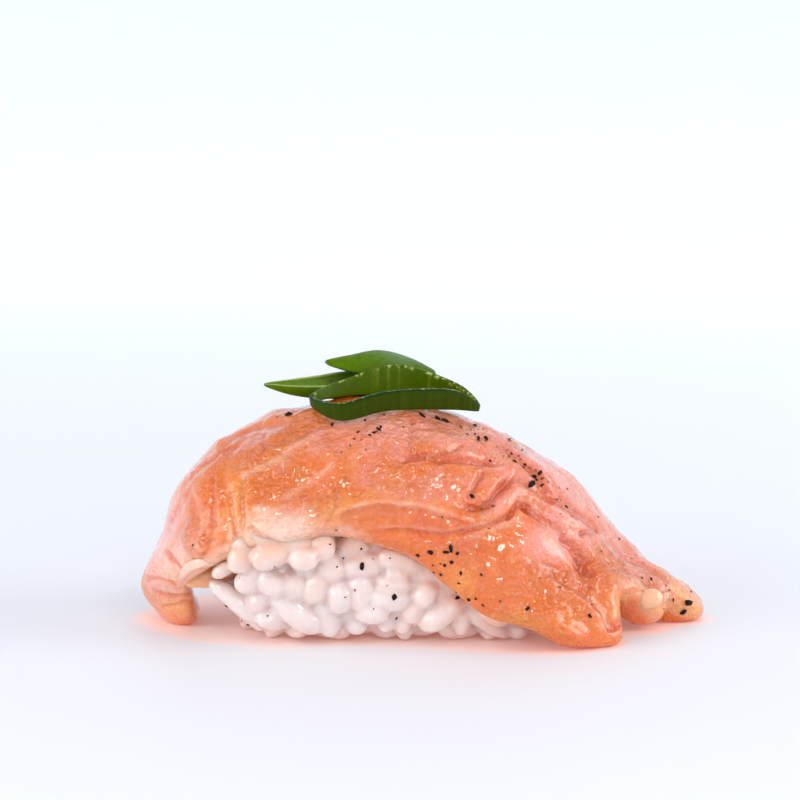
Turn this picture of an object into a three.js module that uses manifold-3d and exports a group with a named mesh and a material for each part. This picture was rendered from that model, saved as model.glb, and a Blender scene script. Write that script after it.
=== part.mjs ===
// Salmon nigiri: a slab of lightly seared salmon draped over a pressed heap of
// rice, with three bias-cut pieces of spring onion on its top. Millimetres, +Z
// up, the slab's long side along X, the origin on the ground under the middle.
import * as THREE from "three";
import { mergeVertices } from "three/addons/utils/BufferGeometryUtils.js";
import Module from "manifold-3d";

const wasm = await Module();
wasm.setup();

// Driving sizes.
const GAP = 0.3; // clearance between pieces that touch
const SLAB_THICKNESS = 6.6;
const SLAB_END_THICKNESS = 5.4; // at the low right end, which lies on the ground
const SLAB_LEG_THICKNESS = 4.2; // at the left end, which hangs and curls under
const SLAB_RIM = 2.4; // radius of the slab's rounded rim
const CORNER_TRIM = 0.05; // a corner's loss at the right end, as a share of the slab's length
const SLAB_SPREAD = { length: 92, width: 46 }; // over the face, laid flat
const SLAB_STEPS = { along: 66, across: 32 }; // even numbers
// The right end's notch between its two front lobes, and its raised back lobe:
// place across the slab, half width, rise of the upper face, change of
// thickness, and how far the end is cut back, as a share of the slab's length.
const LOBES = [
  { t: -0.42, half: 0.34, lift: 1.8, swell: -1.6, recess: 0.04 },
  { t: 0.3, half: 0.6, lift: 1.5, swell: 0.9, recess: 0 },
];
const END_SLANT = 0.36; // how far the bias cut turns the right end, as a slope

const HEAP_CENTRE = new THREE.Vector3(-5.2, 0.2, 7.2);
const HEAP_HALF = { x: 20.8, y: 11.2, top: 16.4, bottom: 8.4 };
const HEAP_SQUARENESS = { plan: 2.9, height: 2.5 };
const HEAP_STEPS = { around: 20, up: 8 };

const GRAIN = { length: 7.2, width: 3.3, sides: 5, rings: 3 };
const GRAIN_HEIGHTS = { lowest: 1.6, highest: 15.5 };
const GRAIN_SPACING = 2.6; // between the axes of full-sized neighbours
const GRAIN_TRIES = 5000;
const GRAIN_SIZES = { first: 1.14, last: 0.66 }; // the later tries fill the gaps with smaller grains
const GRAIN_SEED = 7;
const GRAIN_SHARE_IN_SLAB = 0.4; // a grain that would be deeper in the slab is left out

const ONION_WALL = 0.9;
const RING_STEPS = 40;
const LEAF_STEPS = { along: 16, across: 8 };

// The eye that marks on the faces are placed by.
const EYE = eyeAt({ distance: 285, elevation: 8, aim: new THREE.Vector3(-3.07, 0, 29.5) });

// Furrows and swells on the slab's face, as seen lines in millimetres. width is
// half of a mark's breadth, and rise its height, or its depth if below 0.
const FRONT_MARKS = [
  { width: 1.0, rise: -0.9, line: [[-3.5, 20.7], [-1.9, 21.5], [2.1, 21.4], [5.1, 21.4], [10.2, 21.1]] },
  { width: 0.9, rise: -0.5, line: [[2.1, 21.8], [4.8, 23.3]] },
  { width: 0.9, rise: -0.5, line: [[7.9, 19.7], [6.8, 17.9], [6.2, 16.9]] },
  { width: 1.0, rise: -1.0, line: [[4.8, 15.2], [8.4, 15.9], [9.5, 16.9], [11.7, 19.4]] },
  { width: 1.6, rise: 0.9, line: [[-10.3, 14.9], [-5.7, 15.4], [-2.6, 15.2], [1.3, 14.6], [4.4, 13.4]] },
  { width: 1.3, rise: -0.6, line: [[-9.0, 12.6], [-4.0, 12.9], [2.7, 12.0], [6.2, 12.4], [10.8, 13.6]] },
  { width: 1.2, rise: -1.1, line: [[12.5, 16.0], [14.5, 14.2], [16.7, 13.4], [18.1, 11.2], [20.6, 8.3]] },
  { width: 1.7, rise: -1.3, line: [[20.6, 8.3], [21.0, 5.2], [23.6, 2.1], [24.3, -0.9]] },
  { width: 1.1, rise: -0.5, line: [[13.5, 19.7], [16.1, 17.0], [20.6, 14.3], [23.0, 12.8], [25.8, 10.2]] },
  { width: 1.2, rise: -1.1, line: [[25.8, 10.2], [27.8, 7.4], [28.6, 4.5], [27.2, 1.2]] },
  { width: 3.4, rise: 0.7, line: [[13.5, 10.5], [18.5, 9.0]] },
  { width: 2.6, rise: 0.6, line: [[19.5, 4.5], [21.5, 1.5]] },
  { width: 0.9, rise: 0.5, line: [[-13.7, 24.8], [-17.6, 21.9], [-20.6, 20.5]] },
  { width: 0.9, rise: 0.5, line: [[-11.2, 20.6], [-13.7, 18.5], [-16.9, 17.0]] },
  { width: 0.8, rise: -0.5, line: [[-25.6, 19.0], [-25.2, 13.0], [-25.8, 9.0]] },
  { width: 0.8, rise: -0.5, line: [[-23.4, 18.5], [-23.6, 11.0]] },
  { width: 2.2, rise: 0.8, line: [[-21.0, 12.4], [-16.4, 12.2]] },
  { width: 0.9, rise: -0.6, line: [[-34.5, 4.6], [-31.8, 3.6], [-28.6, 3.2]] },
];
const BACK_MARKS = [
  { width: 1.2, rise: -1.0, line: [[-26.0, 8.0], [-18.0, 12.5], [-9.0, 15.5]] },
  { width: 1.1, rise: -0.9, line: [[-24.0, 14.0], [-15.0, 19.0], [-7.0, 21.5], [1.0, 21.8]] },
  { width: 1.6, rise: 0.8, line: [[-14.0, 10.5], [-6.0, 13.5], [3.0, 14.2]] },
  { width: 1.0, rise: -0.8, line: [[-3.0, 17.5], [4.0, 18.6], [8.0, 22.0]] },
  { width: 1.1, rise: -0.8, line: [[6.0, 12.5], [13.0, 15.5], [19.0, 16.0]] },
  { width: 1.0, rise: -0.6, line: [[15.0, 22.5], [21.0, 19.0], [25.5, 13.0]] },
  { width: 1.4, rise: 0.6, line: [[22.0, 16.0], [27.0, 10.0]] },
];

// Coarse flecks of ground pepper: where each is seen, and its length.
const FLECKS = [
  [0.8, 9.3, 0.8], [2.9, 9.3, 0.8], [3.5, 9.7, 1.0], [4.3, 9.1, 0.5], [-0.8, 8.9, 0.5], [4.8, 6.6, 0.5],
  [4.4, 3.5, 0.8], [5.8, 3.2, 0.5], [7.6, 2.5, 0.5], [13.3, 2.1, 0.6], [21.3, 1.1, 0.6], [-7.9, 7.5, 1.0],
  [-3.8, 3.5, 0.8], [-3.5, 0.8, 0.5], [29.2, 5.8, 0.5], [33.9, 2.8, 1.2], [33.3, 1.6, 0.9], [32.0, 3.2, 0.5],
  [-17.3, 26.9, 1.0], [-11.7, 25.6, 0.8], [-5.8, 25.0, 1.2], [-7.5, 26.2, 0.5], [-0.2, 26.8, 1.0],
  [2.4, 26.2, 1.5], [6.6, 25.5, 0.6], [7.0, 23.8, 0.9], [8.0, 23.9, 0.6], [11.7, 20.9, 0.6],
  [14.9, 19.4, 0.8], [14.2, 18.9, 1.0], [15.2, 17.9, 0.6], [13.8, 18.0, 1.2], [6.1, 16.5, 0.8],
  [18.3, 15.1, 0.5],
];
const BACK_FLECKS = { tries: 26, across: [-22, 18], up: [9, 27], length: [0.5, 1.0] };
const FLECK_SEED = 11;

// A pale wisp of fat on the slab's rim by the left leg, and a grain of rice
// stuck to its right end: the seen ends of each spindle, and its width.
const WISPS = [
  { from: [-31.2, 5.9], to: [-28.4, 8.2], width: 1.3 },
  { from: [-29.0, 8.0], to: [-26.6, 8.1], width: 1.1 },
  { from: [27.2, 3.4], to: [29.6, 4.4], width: 3.0 },
];

const COLOURS = {
  salmon: { color: 0xf2a184, roughness: 0.35 },
  rice: { color: 0xece4e2, roughness: 0.4 },
  onion: { color: 0x3f6d14, roughness: 0.35 },
};

// The slab's three rails on its upper face: the ridge down its middle, and its
// front and back edges, each from the left leg to the low right end.
const RIDGE = rail([
  [-31.8, 2.4, -1.6],
  [-36.5, 2.8, 4.4],
  [-33.9, 2.8, 12.6],
  [-30.4, 2.2, 20.5],
  [-23.2, 1.6, 25.7],
  [-14.4, 1.2, 29.1],
  [-4.8, 0.8, 29.2],
  [4.6, 0.5, 27.3],
  [12.8, 0.2, 23.4],
  [19.8, 0.2, 18.0],
  [25.4, -0.2, 9.7],
  [32.4, -3.0, 3.3],
]);
const FRONT_EDGE = rail([
  [-29.6, -1.5, 0.2],
  [-29.8, -5.0, 5.8],
  [-27.6, -10.0, 8.8],
  [-22.8, -13.2, 11.8],
  [-17.0, -14.6, 13.2],
  [-11.5, -14.8, 14.4],
  [-6.5, -14.8, 13.4],
  [-1.5, -15.0, 11.6],
  [2.6, -15.3, 8.3],
  [7.6, -15.8, 4.6],
  [14.0, -16.3, 3.8],
  [22.4, -15.6, -1.4],
]);
const BACK_EDGE = rail([
  [-32.4, 7.0, -0.8],
  [-35.0, 8.6, 5.0],
  [-32.0, 12.0, 11.0],
  [-24.5, 14.8, 12.2],
  [-17.0, 15.6, 12.0],
  [-9.5, 16.0, 11.0],
  [-1.5, 16.1, 10.0],
  [6.5, 16.0, 8.5],
  [14.5, 15.6, 6.5],
  [22.0, 15.0, 4.4],
  [31.8, 9.6, 4.4],
  [41.6, 1.8, 1.4],
]);

// The cut ring's lower and upper rims, from its right end round the back.
const RING_LOWER = loop([
  [6.7, 1.4, 27.9],
  [3.6, 4.2, 28.5],
  [-3.2, 3.6, 29.7],
  [-9.8, 0.8, 29.9],
  [-14.0, -3.2, 29.4],
  [-10.4, -7.0, 27.9],
  [-4.6, -4.4, 28.8],
  [3.4, -0.8, 28.4],
]);
const RING_UPPER = loop([
  [6.9, 1.4, 28.8],
  [4.2, 3.2, 31.2],
  [-3.2, 4.0, 33.6],
  [-9.8, 1.2, 32.2],
  [-14.2, -3.0, 30.6],
  [-10.6, -7.2, 30.1],
  [-4.6, -4.8, 31.3],
  [3.6, -1.2, 31.0],
]);

// The keel of the low leaf left of the ring, which opens upward, and the crest
// of the leaf on top, which opens downward. Each starts at the leaf's point.
const LOW_LEAF = {
  spine: rail([
    [-20.6, 1.2, 31.3],
    [-17.2, 2.1, 30.3],
    [-13.2, 3.7, 29.7],
    [-9.0, 5.8, 29.5],
    [-4.8, 8.0, 28.9],
  ]),
  halfWidth: 4.0,
  curl: 1.45,
  opening: 1,
  roll: 0.2,
  point: 0.8,
};
const TOP_LEAF = {
  spine: rail([
    [-12.8, 4.8, 33.9],
    [-9.4, 6.2, 34.2],
    [-5.6, 7.5, 34.6],
    [-1.8, 8.3, 33.5],
    [1.6, 8.7, 31.7],
  ]),
  halfWidth: 5.1,
  curl: 1.6,
  opening: -1,
  roll: 0,
  point: 0.7,
};

// A smooth rail through evenly shared points.
function rail(points) {
  const vectors = points.map((point) => new THREE.Vector3(...point));
  return new THREE.CatmullRomCurve3(vectors, false, "catmullrom", 0.5);
}

// A smooth closed rail.
function loop(points) {
  const vectors = points.map((point) => new THREE.Vector3(...point));
  return new THREE.CatmullRomCurve3(vectors, true, "catmullrom", 0.5);
}

// An eye at a distance from the point it aims at, looking along +Y and down.
function eyeAt({ distance, elevation, aim }) {
  const tilt = THREE.MathUtils.degToRad(elevation);
  const forward = new THREE.Vector3(0, Math.cos(tilt), -Math.sin(tilt));
  const up = new THREE.Vector3(0, Math.sin(tilt), Math.cos(tilt));
  const place = aim.clone().addScaledVector(forward, -distance);
  const originDepth = -place.dot(forward);
  const originSeen = new THREE.Vector2(-place.x, -place.dot(up)).multiplyScalar(distance / originDepth);
  return { distance, forward, up, place, originSeen };
}

// Repeatable random numbers from 0 to 1.
function randomFrom(seed) {
  let state = seed;
  return () => {
    state = (Math.imul(state, 1664525) + 1013904223) >>> 0;
    return state / 4294967296;
  };
}

// A geometry as a solid for cutting and joining.
function solidOf(geometry) {
  const bare = geometry.clone();
  bare.deleteAttribute("normal");
  bare.deleteAttribute("uv");
  const merged = mergeVertices(bare, 1e-4);
  return new wasm.Manifold(
    new wasm.Mesh({
      numProp: 3,
      vertProperties: new Float32Array(merged.attributes.position.array),
      triVerts: new Uint32Array(merged.index.array),
    }),
  );
}

// A solid as a geometry again.
function geometryOf(solid) {
  const mesh = solid.getMesh();
  const geometry = new THREE.BufferGeometry();
  geometry.setAttribute("position", new THREE.BufferAttribute(mesh.vertProperties, 3));
  geometry.setIndex(new THREE.BufferAttribute(mesh.triVerts, 1));
  geometry.computeVertexNormals();
  return geometry;
}

// A geometry from points and triangles.
function facetedGeometry(points, triangles) {
  const geometry = new THREE.BufferGeometry().setFromPoints(points);
  geometry.setIndex(triangles);
  return geometry;
}

// ---------------------------------------------------------------- the salmon

// A point of the smooth upper face: s runs along the slab from the left leg to
// the right end, t across it from the front edge, -1, to the back edge, 1. Each
// side is a quarter of an ellipse from the ridge down to its edge.
function upperFace(s, t) {
  const held = THREE.MathUtils.clamp(s, 0, 1);
  const point = faceInside(held, t);
  if (held === s) {
    return point;
  }
  const step = 0.01;
  const inner = faceInside(held === 0 ? step : 1 - step, t);
  return point.addScaledVector(point.clone().sub(inner), Math.abs(s - held) / step);
}

function faceInside(s, t) {
  const ridge = RIDGE.getPoint(s);
  const edge = (t < 0 ? FRONT_EDGE : BACK_EDGE).getPoint(s);
  const reach = edge.y - ridge.y;
  const slant = END_SLANT * THREE.MathUtils.smoothstep(s, 0.45, 1);
  const corner = new THREE.Vector3(ridge.x + slant * reach, edge.y, ridge.z);
  const lastTurn = (Math.PI / 2) * (1 - 0.35 * THREE.MathUtils.smoothstep(-s, -0.16, 0)
    - 0.5 * THREE.MathUtils.smoothstep(s, 0.8, 1));
  const turn = Math.abs(t) * lastTurn;
  const point = ridge
    .clone()
    .addScaledVector(corner.clone().sub(ridge), Math.sin(turn) / Math.sin(lastTurn))
    .addScaledVector(edge.clone().sub(corner), (1 - Math.cos(turn)) / (1 - Math.cos(lastTurn)));
  for (const { t: place, half, lift } of LOBES) {
    point.z += lift * THREE.MathUtils.smoothstep(s, 0.8, 1) * hump((t - place) / half);
  }
  return point;
}

// 1 in the middle, 0 from 1 away, with a round top.
function hump(x) {
  return Math.abs(x) < 1 ? (1 - x * x) ** 2 : 0;
}

// The upper face's outward direction.
function upperNormal(s, t) {
  const step = 0.004;
  const alongSlab = upperFace(s + step, t).sub(upperFace(s - step, t));
  const acrossSlab = upperFace(s, t + step).sub(upperFace(s, t - step));
  return alongSlab.cross(acrossSlab).normalize();
}

// The slab's full thickness, thinner to its edges and to its right end.
function slabThickness(s, t) {
  const end = THREE.MathUtils.smoothstep(s, 0.68, 1);
  const leg = THREE.MathUtils.smoothstep(s, 0, 0.34);
  let full = THREE.MathUtils.lerp(SLAB_THICKNESS, SLAB_END_THICKNESS, end);
  full = THREE.MathUtils.lerp(SLAB_LEG_THICKNESS, full, leg);
  for (const { t: place, half, swell } of LOBES) {
    full += swell * end * hump((t - place) / half);
  }
  return full * (1 - 0.3 * Math.abs(t) ** 4);
}

// 0 at a rim and 1 further in than the rim's radius, on a round curve.
function rimShare(distance) {
  const inside = THREE.MathUtils.clamp(distance / SLAB_RIM, 0, 1);
  return Math.sqrt(1 - (1 - inside) ** 2);
}

// Rounds the two corners of the right end, and cuts its notch.
function endTrim(s, t) {
  let trim = CORNER_TRIM * Math.abs(t) ** 6;
  for (const { t: place, half, recess } of LOBES) {
    trim += recess * hump((t - place) / half);
  }
  return trim * THREE.MathUtils.smoothstep(s, 0.8, 1);
}

// Keeps a height above the ground, and presses what would pass it flat.
function restOnGround(height) {
  const softness = 0.5;
  const settled = height > 20 ? height : softness * Math.log1p(Math.exp(height / softness));
  return settled - 0.15;
}

// The slab as a closed sheet of two faces that meet at the rim, swollen by
// grow on all sides. relief lifts or sinks the upper face.
function slabSolid(grow, relief) {
  const { along, across } = SLAB_STEPS;
  const points = [[], []];
  for (let i = 0; i <= along; i += 1) {
    const pastEnd = (i === along ? 1 : i === 0 ? -1 : 0) * (grow / SLAB_SPREAD.length);
    const s = eased(i / along) + pastEnd;
    for (let j = 0; j <= across; j += 1) {
      const pastSide = (j === across ? 1 : j === 0 ? -1 : 0) * ((2 * grow) / SLAB_SPREAD.width);
      const t = 2 * eased(j / across) - 1 + pastSide;
      const fromEnds = Math.min(s, 1 - s) * SLAB_SPREAD.length + grow;
      const fromSides = ((1 - Math.abs(t)) * SLAB_SPREAD.width) / 2 + grow;
      const rim = rimShare(fromEnds) * rimShare(fromSides);
      const thickness = slabThickness(THREE.MathUtils.clamp(s, 0, 1), t);
      const place = s - endTrim(s, t);
      const normal = upperNormal(place, t);
      const middle = upperFace(place, t).addScaledVector(normal, -thickness / 2);
      const half = (thickness / 2 + grow) * rim;
      const smooth = middle.clone().addScaledVector(normal, half);
      const raised = half + relief(t, smooth) * rim;
      for (const [face, offset] of [raised, -half].entries()) {
        const point = middle.clone().addScaledVector(normal, offset);
        point.z = restOnGround(point.z);
        points[face].push(point);
      }
    }
  }
  return solidOf(sheetGeometry(points, along, across, 2));
}

// Steps that are finer near both ends, where the rim is.
function eased(share) {
  return share - 0.07 * Math.sin(2 * Math.PI * share);
}

// Two grids of points as one closed sheet, joined along their rims. The lower
// grid keeps only every step-th point, apart from the rim's.
function sheetGeometry([upper, lower], along, across, step) {
  const row = across + 1;
  const isRim = (i, j) => i === 0 || j === 0 || i === along || j === across;
  const above = (i, j) => i * row + j;
  const below = (i, j) => (isRim(i, j) ? 0 : upper.length) + above(i, j);
  const triangles = [];
  for (let i = 0; i < along; i += 1) {
    for (let j = 0; j < across; j += 1) {
      const [a, b, c, d] = [above(i, j), above(i + 1, j), above(i + 1, j + 1), above(i, j + 1)];
      triangles.push(a, b, c, a, c, d);
    }
  }
  for (let i = 0; i < along; i += step) {
    for (let j = 0; j < across; j += step) {
      const outline = cellOutline(i, j, step, isRim);
      const apex = below(i === 0 ? step : i, j === 0 ? step : j);
      const ring = outline.map(([k, l]) => below(k, l));
      const first = ring.indexOf(apex);
      for (let k = 1; k + 1 < ring.length; k += 1) {
        triangles.push(apex, ring[(first + k + 1) % ring.length], ring[(first + k) % ring.length]);
      }
    }
  }
  return facetedGeometry([...upper, ...lower], triangles);
}

// The grid points round a cell of step by step squares: its corners, and all
// the points of a side that is on the rim.
function cellOutline(i, j, step, isRim) {
  const corners = [[i, j], [i + step, j], [i + step, j + step], [i, j + step]];
  const outline = [];
  for (const [k, [fromI, fromJ]] of corners.entries()) {
    const [toI, toJ] = corners[(k + 1) % corners.length];
    const between = [(fromI + toI) / 2, (fromJ + toJ) / 2];
    outline.push([fromI, fromJ]);
    if (step === 2 && isRim(...between)) {
      outline.push(between);
    }
  }
  return outline;
}

// -------------------------------------------------- marks on the salmon's face

// Where an eye in front of the nigiri, a little above it, sees a point, in
// millimetres right of and above the place where it sees the origin.
function seenFromFront(point, side = 1) {
  const fromEye = new THREE.Vector3(point.x * side, point.y * side, point.z).sub(EYE.place);
  const depth = fromEye.dot(EYE.forward);
  const scale = EYE.distance / depth;
  const seen = new THREE.Vector2(fromEye.x * scale, fromEye.dot(EYE.up) * scale);
  return seen.sub(EYE.originSeen);
}

// The distance from a seen point to a line of seen points.
function distanceToLine(seen, line) {
  let nearest = Infinity;
  for (let i = 0; i + 1 < line.length; i += 1) {
    const [ax, ay] = line[i];
    const [bx, by] = line[i + 1];
    const dx = bx - ax;
    const dy = by - ay;
    const share = ((seen.x - ax) * dx + (seen.y - ay) * dy) / (dx * dx + dy * dy);
    const held = THREE.MathUtils.clamp(share, 0, 1);
    nearest = Math.min(nearest, Math.hypot(seen.x - ax - held * dx, seen.y - ay - held * dy));
  }
  return nearest;
}

// The nearest point of some meshes that the eye sees at a seen place, from the
// front, or from the back with a side of -1.
function hitAt([across, up], side, meshes) {
  const direction = EYE.forward.clone().multiplyScalar(EYE.distance);
  direction.addScaledVector(EYE.up, up + EYE.originSeen.y);
  direction.x += across + EYE.originSeen.x;
  const turn = new THREE.Vector3(side, side, 1);
  const place = EYE.place.clone().multiply(turn);
  const ray = new THREE.Raycaster(place, direction.normalize().multiply(turn));
  return ray.intersectObjects(meshes)[0];
}

// How far the salmon's face stands out at a point: furrows between its flakes,
// swells on them, and a slow unevenness all over.
function flakeRelief(t, point) {
  const side = t < 0.12 ? 1 : -1;
  const seen = seenFromFront(point, side);
  const marks = side === 1 ? FRONT_MARKS : BACK_MARKS;
  let height = 0.22 * Math.sin(0.55 * point.x + 1.1 * t) * Math.cos(0.4 * point.z + 0.5 * point.y);
  for (const { line, width, rise } of marks) {
    height += rise * Math.exp(-((distanceToLine(seen, line) / width) ** 2));
  }
  return height;
}

// ------------------------------------------------------------------ the rice

// A point of the heap's smooth skin: around is an angle in plan, up an angle
// above its widest height.
function heapSkin(around, up) {
  const power = (value, squareness) => Math.sign(value) * Math.abs(value) ** (2 / squareness);
  const level = power(Math.cos(up), HEAP_SQUARENESS.height);
  const rise = power(Math.sin(up), HEAP_SQUARENESS.height);
  return new THREE.Vector3(
    HEAP_HALF.x * level * power(Math.cos(around), HEAP_SQUARENESS.plan),
    HEAP_HALF.y * level * power(Math.sin(around), HEAP_SQUARENESS.plan),
    (up < 0 ? HEAP_HALF.bottom : HEAP_HALF.top) * rise,
  ).add(HEAP_CENTRE);
}

function heapCore() {
  const core = new THREE.SphereGeometry(1, HEAP_STEPS.around, HEAP_STEPS.up);
  const position = core.attributes.position;
  for (let i = 0; i < position.count; i += 1) {
    const [x, y, z] = [position.getX(i), position.getY(i), position.getZ(i)];
    const point = heapSkin(Math.atan2(-z, x), Math.asin(THREE.MathUtils.clamp(y, -1, 1)));
    position.setXYZ(i, point.x, point.y, point.z);
  }
  return solidOf(core);
}

// One plump grain along X, with blunt ends.
function grainSolid() {
  const { length, width, sides, rings } = GRAIN;
  const profile = [new THREE.Vector2(0, -length / 2)];
  for (let ring = 1; ring <= rings; ring += 1) {
    const share = -Math.cos((Math.PI * ring) / (rings + 1));
    const radius = (width / 2) * (1 - Math.abs(share) ** 2.6) ** (1 / 2.2);
    profile.push(new THREE.Vector2(radius, (share * length) / 2));
  }
  profile.push(new THREE.Vector2(0, length / 2));
  return solidOf(new THREE.LatheGeometry(profile, sides).rotateZ(-Math.PI / 2));
}

// The heap: its core and the grains that show, fused. Each grain lies against
// the skin, turned at random, clear of the others, and cut where the slab is.
function riceSolid(slabRoom) {
  const random = randomFrom(GRAIN_SEED);
  const grain = grainSolid();
  const kept = [];
  for (let k = 0; k < GRAIN_TRIES; k += 1) {
    const size = THREE.MathUtils.lerp(GRAIN_SIZES.first, GRAIN_SIZES.last, k / GRAIN_TRIES);
    const placed = grainPlace(size, random);
    if (kept.some((other) => isNear(placed, other))) {
      continue;
    }
    const solid = grain.transform(placed.matrix.elements);
    if (solid.intersect(slabRoom).volume() < GRAIN_SHARE_IN_SLAB * solid.volume()) {
      kept.push({ ...placed, solid });
    }
  }
  const joined = wasm.Manifold.union([heapCore(), ...kept.map(({ solid }) => solid)]);
  return largestPiece(joined.subtract(slabRoom).subtract(ground));
}

// A random place on the skin for a grain, with three points on its axis.
function grainPlace(size, random) {
  const { lowest, highest } = GRAIN_HEIGHTS;
  const aboveCentre = THREE.MathUtils.lerp(lowest, highest, random()) - HEAP_CENTRE.z;
  const half = aboveCentre < 0 ? HEAP_HALF.bottom : HEAP_HALF.top;
  const rise = Math.abs(aboveCentre / half) ** (HEAP_SQUARENESS.height / 2);
  const up = Math.sign(aboveCentre) * Math.asin(Math.min(rise, 1));
  const angle = 2 * Math.PI * random();
  const evenAngle = Math.atan2(HEAP_HALF.x * Math.sin(angle), HEAP_HALF.y * Math.cos(angle));
  const step = 0.05;
  const place = heapSkin(evenAngle, up);
  const sideways = heapSkin(evenAngle + step, up).sub(place).normalize();
  const upward = heapSkin(evenAngle, up + step).sub(place).normalize();
  const outward = sideways.clone().cross(upward).normalize();
  const lie = Math.PI * random();
  const axis = sideways
    .clone()
    .multiplyScalar(Math.cos(lie))
    .addScaledVector(upward, Math.sin(lie))
    .addScaledVector(outward, 0.4 * (random() - 0.5))
    .normalize();
  const across = outward.clone().cross(axis).normalize();
  const plump = size * (0.95 + 0.25 * random());
  place.addScaledVector(outward, 0.5 * random() - 0.2);
  const matrix = new THREE.Matrix4()
    .makeBasis(
      axis.clone().multiplyScalar(size),
      across.clone().multiplyScalar(plump),
      axis.clone().cross(across).multiplyScalar(plump),
    )
    .setPosition(place);
  const reach = 0.3 * size * GRAIN.length;
  const points = [-reach, 0, reach].map((along) => place.clone().addScaledVector(axis, along));
  return { matrix, points, size };
}

function isNear(grain, other) {
  const clearance = (GRAIN_SPACING * (grain.size + other.size)) / 2;
  return grain.points.some((a) => other.points.some((b) => a.distanceTo(b) < clearance));
}

function largestPiece(solid) {
  const pieces = solid.decompose();
  return pieces.reduce((best, piece) => (piece.volume() > best.volume() ? piece : best));
}

// ---------------------------------------------------------- the spring onion

// A ring cut on the bias from a hollow leaf: a wall that stands between two
// closed rails, with blunt rims.
function ringSolid(lowerRim, upperRim) {
  const section = [
    { rise: 0, out: 0 },
    { rise: 0.14, out: 0.5 },
    { rise: 0.86, out: 0.5 },
    { rise: 1, out: 0 },
    { rise: 0.86, out: -0.5 },
    { rise: 0.14, out: -0.5 },
  ];
  const points = [];
  const triangles = [];
  for (let i = 0; i < RING_STEPS; i += 1) {
    const share = i / RING_STEPS;
    const low = lowerRim.getPoint(share);
    const wall = upperRim.getPoint(share).sub(low);
    const outward = lowerRim.getTangent(share).cross(wall).normalize();
    for (const { rise, out } of section) {
      const point = low.clone().addScaledVector(wall, rise);
      points.push(point.addScaledVector(outward, out * ONION_WALL));
    }
    for (let k = 0; k < section.length; k += 1) {
      const here = i * section.length;
      const next = ((i + 1) % RING_STEPS) * section.length;
      const beside = (k + 1) % section.length;
      triangles.push(here + k, next + k, next + beside, here + k, next + beside, here + beside);
    }
  }
  return solidOf(facetedGeometry(points, triangles));
}

// A pointed leaf, curled about its spine, thin all over and blunt at its rim.
function leafSolid({ spine, halfWidth, curl, opening, roll, point }) {
  const { along, across } = LEAF_STEPS;
  const points = [[], []];
  for (let i = 0; i <= along; i += 1) {
    const share = i / along;
    const width = halfWidth * (0.04 + 0.96 * Math.sin((Math.PI / 2) * share ** point));
    const forward = spine.getTangent(share);
    const open = new THREE.Vector3(0, 0, opening);
    const side = open.clone().cross(forward).normalize();
    open.crossVectors(forward, side).normalize();
    open.applyAxisAngle(forward, roll);
    side.applyAxisAngle(forward, roll);
    for (let j = 0; j <= across; j += 1) {
      const angle = curl * ((2 * j) / across - 1);
      const reach = (width * Math.sin(angle)) / curl;
      const rise = (width * (1 - Math.cos(angle))) / curl;
      const middle = spine.getPoint(share).addScaledVector(side, reach).addScaledVector(open, rise);
      const inward = open.clone().multiplyScalar(Math.cos(angle)).addScaledVector(side, -Math.sin(angle));
      const isRim = i === 0 || j === 0 || i === along || j === across;
      const half = isRim ? 0 : (ONION_WALL / 2) * Math.min(1, width / halfWidth + 0.3);
      points[0].push(middle.clone().addScaledVector(inward, half));
      points[1].push(middle.addScaledVector(inward, -half));
    }
  }
  return solidOf(sheetGeometry(points, along, across, 1));
}

// ------------------------------------------------------ what lies on the faces

// One fleck of pepper, half sunk in the face where it was seen.
function fleckSolid(hit, length, random) {
  const upright = new THREE.Vector3(0, 0, 1);
  const lie = new THREE.Quaternion().setFromUnitVectors(upright, hit.face.normal);
  lie.multiply(new THREE.Quaternion().setFromAxisAngle(upright, Math.PI * random()));
  const size = new THREE.Vector3(1, 0.7, 0.55).multiplyScalar(length);
  const matrix = new THREE.Matrix4().compose(hit.point, lie, size);
  return solidOf(new THREE.OctahedronGeometry(0.5).applyMatrix4(matrix));
}

// All the coarse flecks, each with the name of what it lies on.
function fleckSolids(meshes) {
  const random = randomFrom(FLECK_SEED);
  const between = ([low, high]) => THREE.MathUtils.lerp(low, high, random());
  const seen = FLECKS.map(([across, up, length]) => ({ at: [across, up], length, side: 1 }));
  for (let k = 0; k < BACK_FLECKS.tries; k += 1) {
    const at = [between(BACK_FLECKS.across), between(BACK_FLECKS.up)];
    seen.push({ at, length: between(BACK_FLECKS.length), side: -1 });
  }
  const flecks = [];
  for (const { at, length, side } of seen) {
    const hit = hitAt(at, side, meshes);
    if (hit) {
      flecks.push({ host: hit.object.name, solid: fleckSolid(hit, length, random) });
    }
  }
  return flecks;
}

// A spindle between two places on a face, swollen by grow.
function wispSolid({ from, to, width }, mesh, grow) {
  const a = hitAt(from, 1, [mesh]).point;
  const b = hitAt(to, 1, [mesh]).point;
  const axis = b.clone().sub(a);
  const lie = new THREE.Quaternion().setFromUnitVectors(new THREE.Vector3(1, 0, 0), axis.clone().normalize());
  const thick = (width + 2 * grow) / GRAIN.width;
  const size = new THREE.Vector3((axis.length() + 2 * grow) / GRAIN.length, thick, thick);
  const matrix = new THREE.Matrix4().compose(a.lerp(b, 0.5), lie, size);
  return grainSolid().transform(matrix.elements);
}

function meshOf(name, solid, look) {
  const mesh = new THREE.Mesh(geometryOf(solid), new THREE.MeshStandardMaterial(look));
  mesh.name = name;
  return mesh;
}

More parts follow.
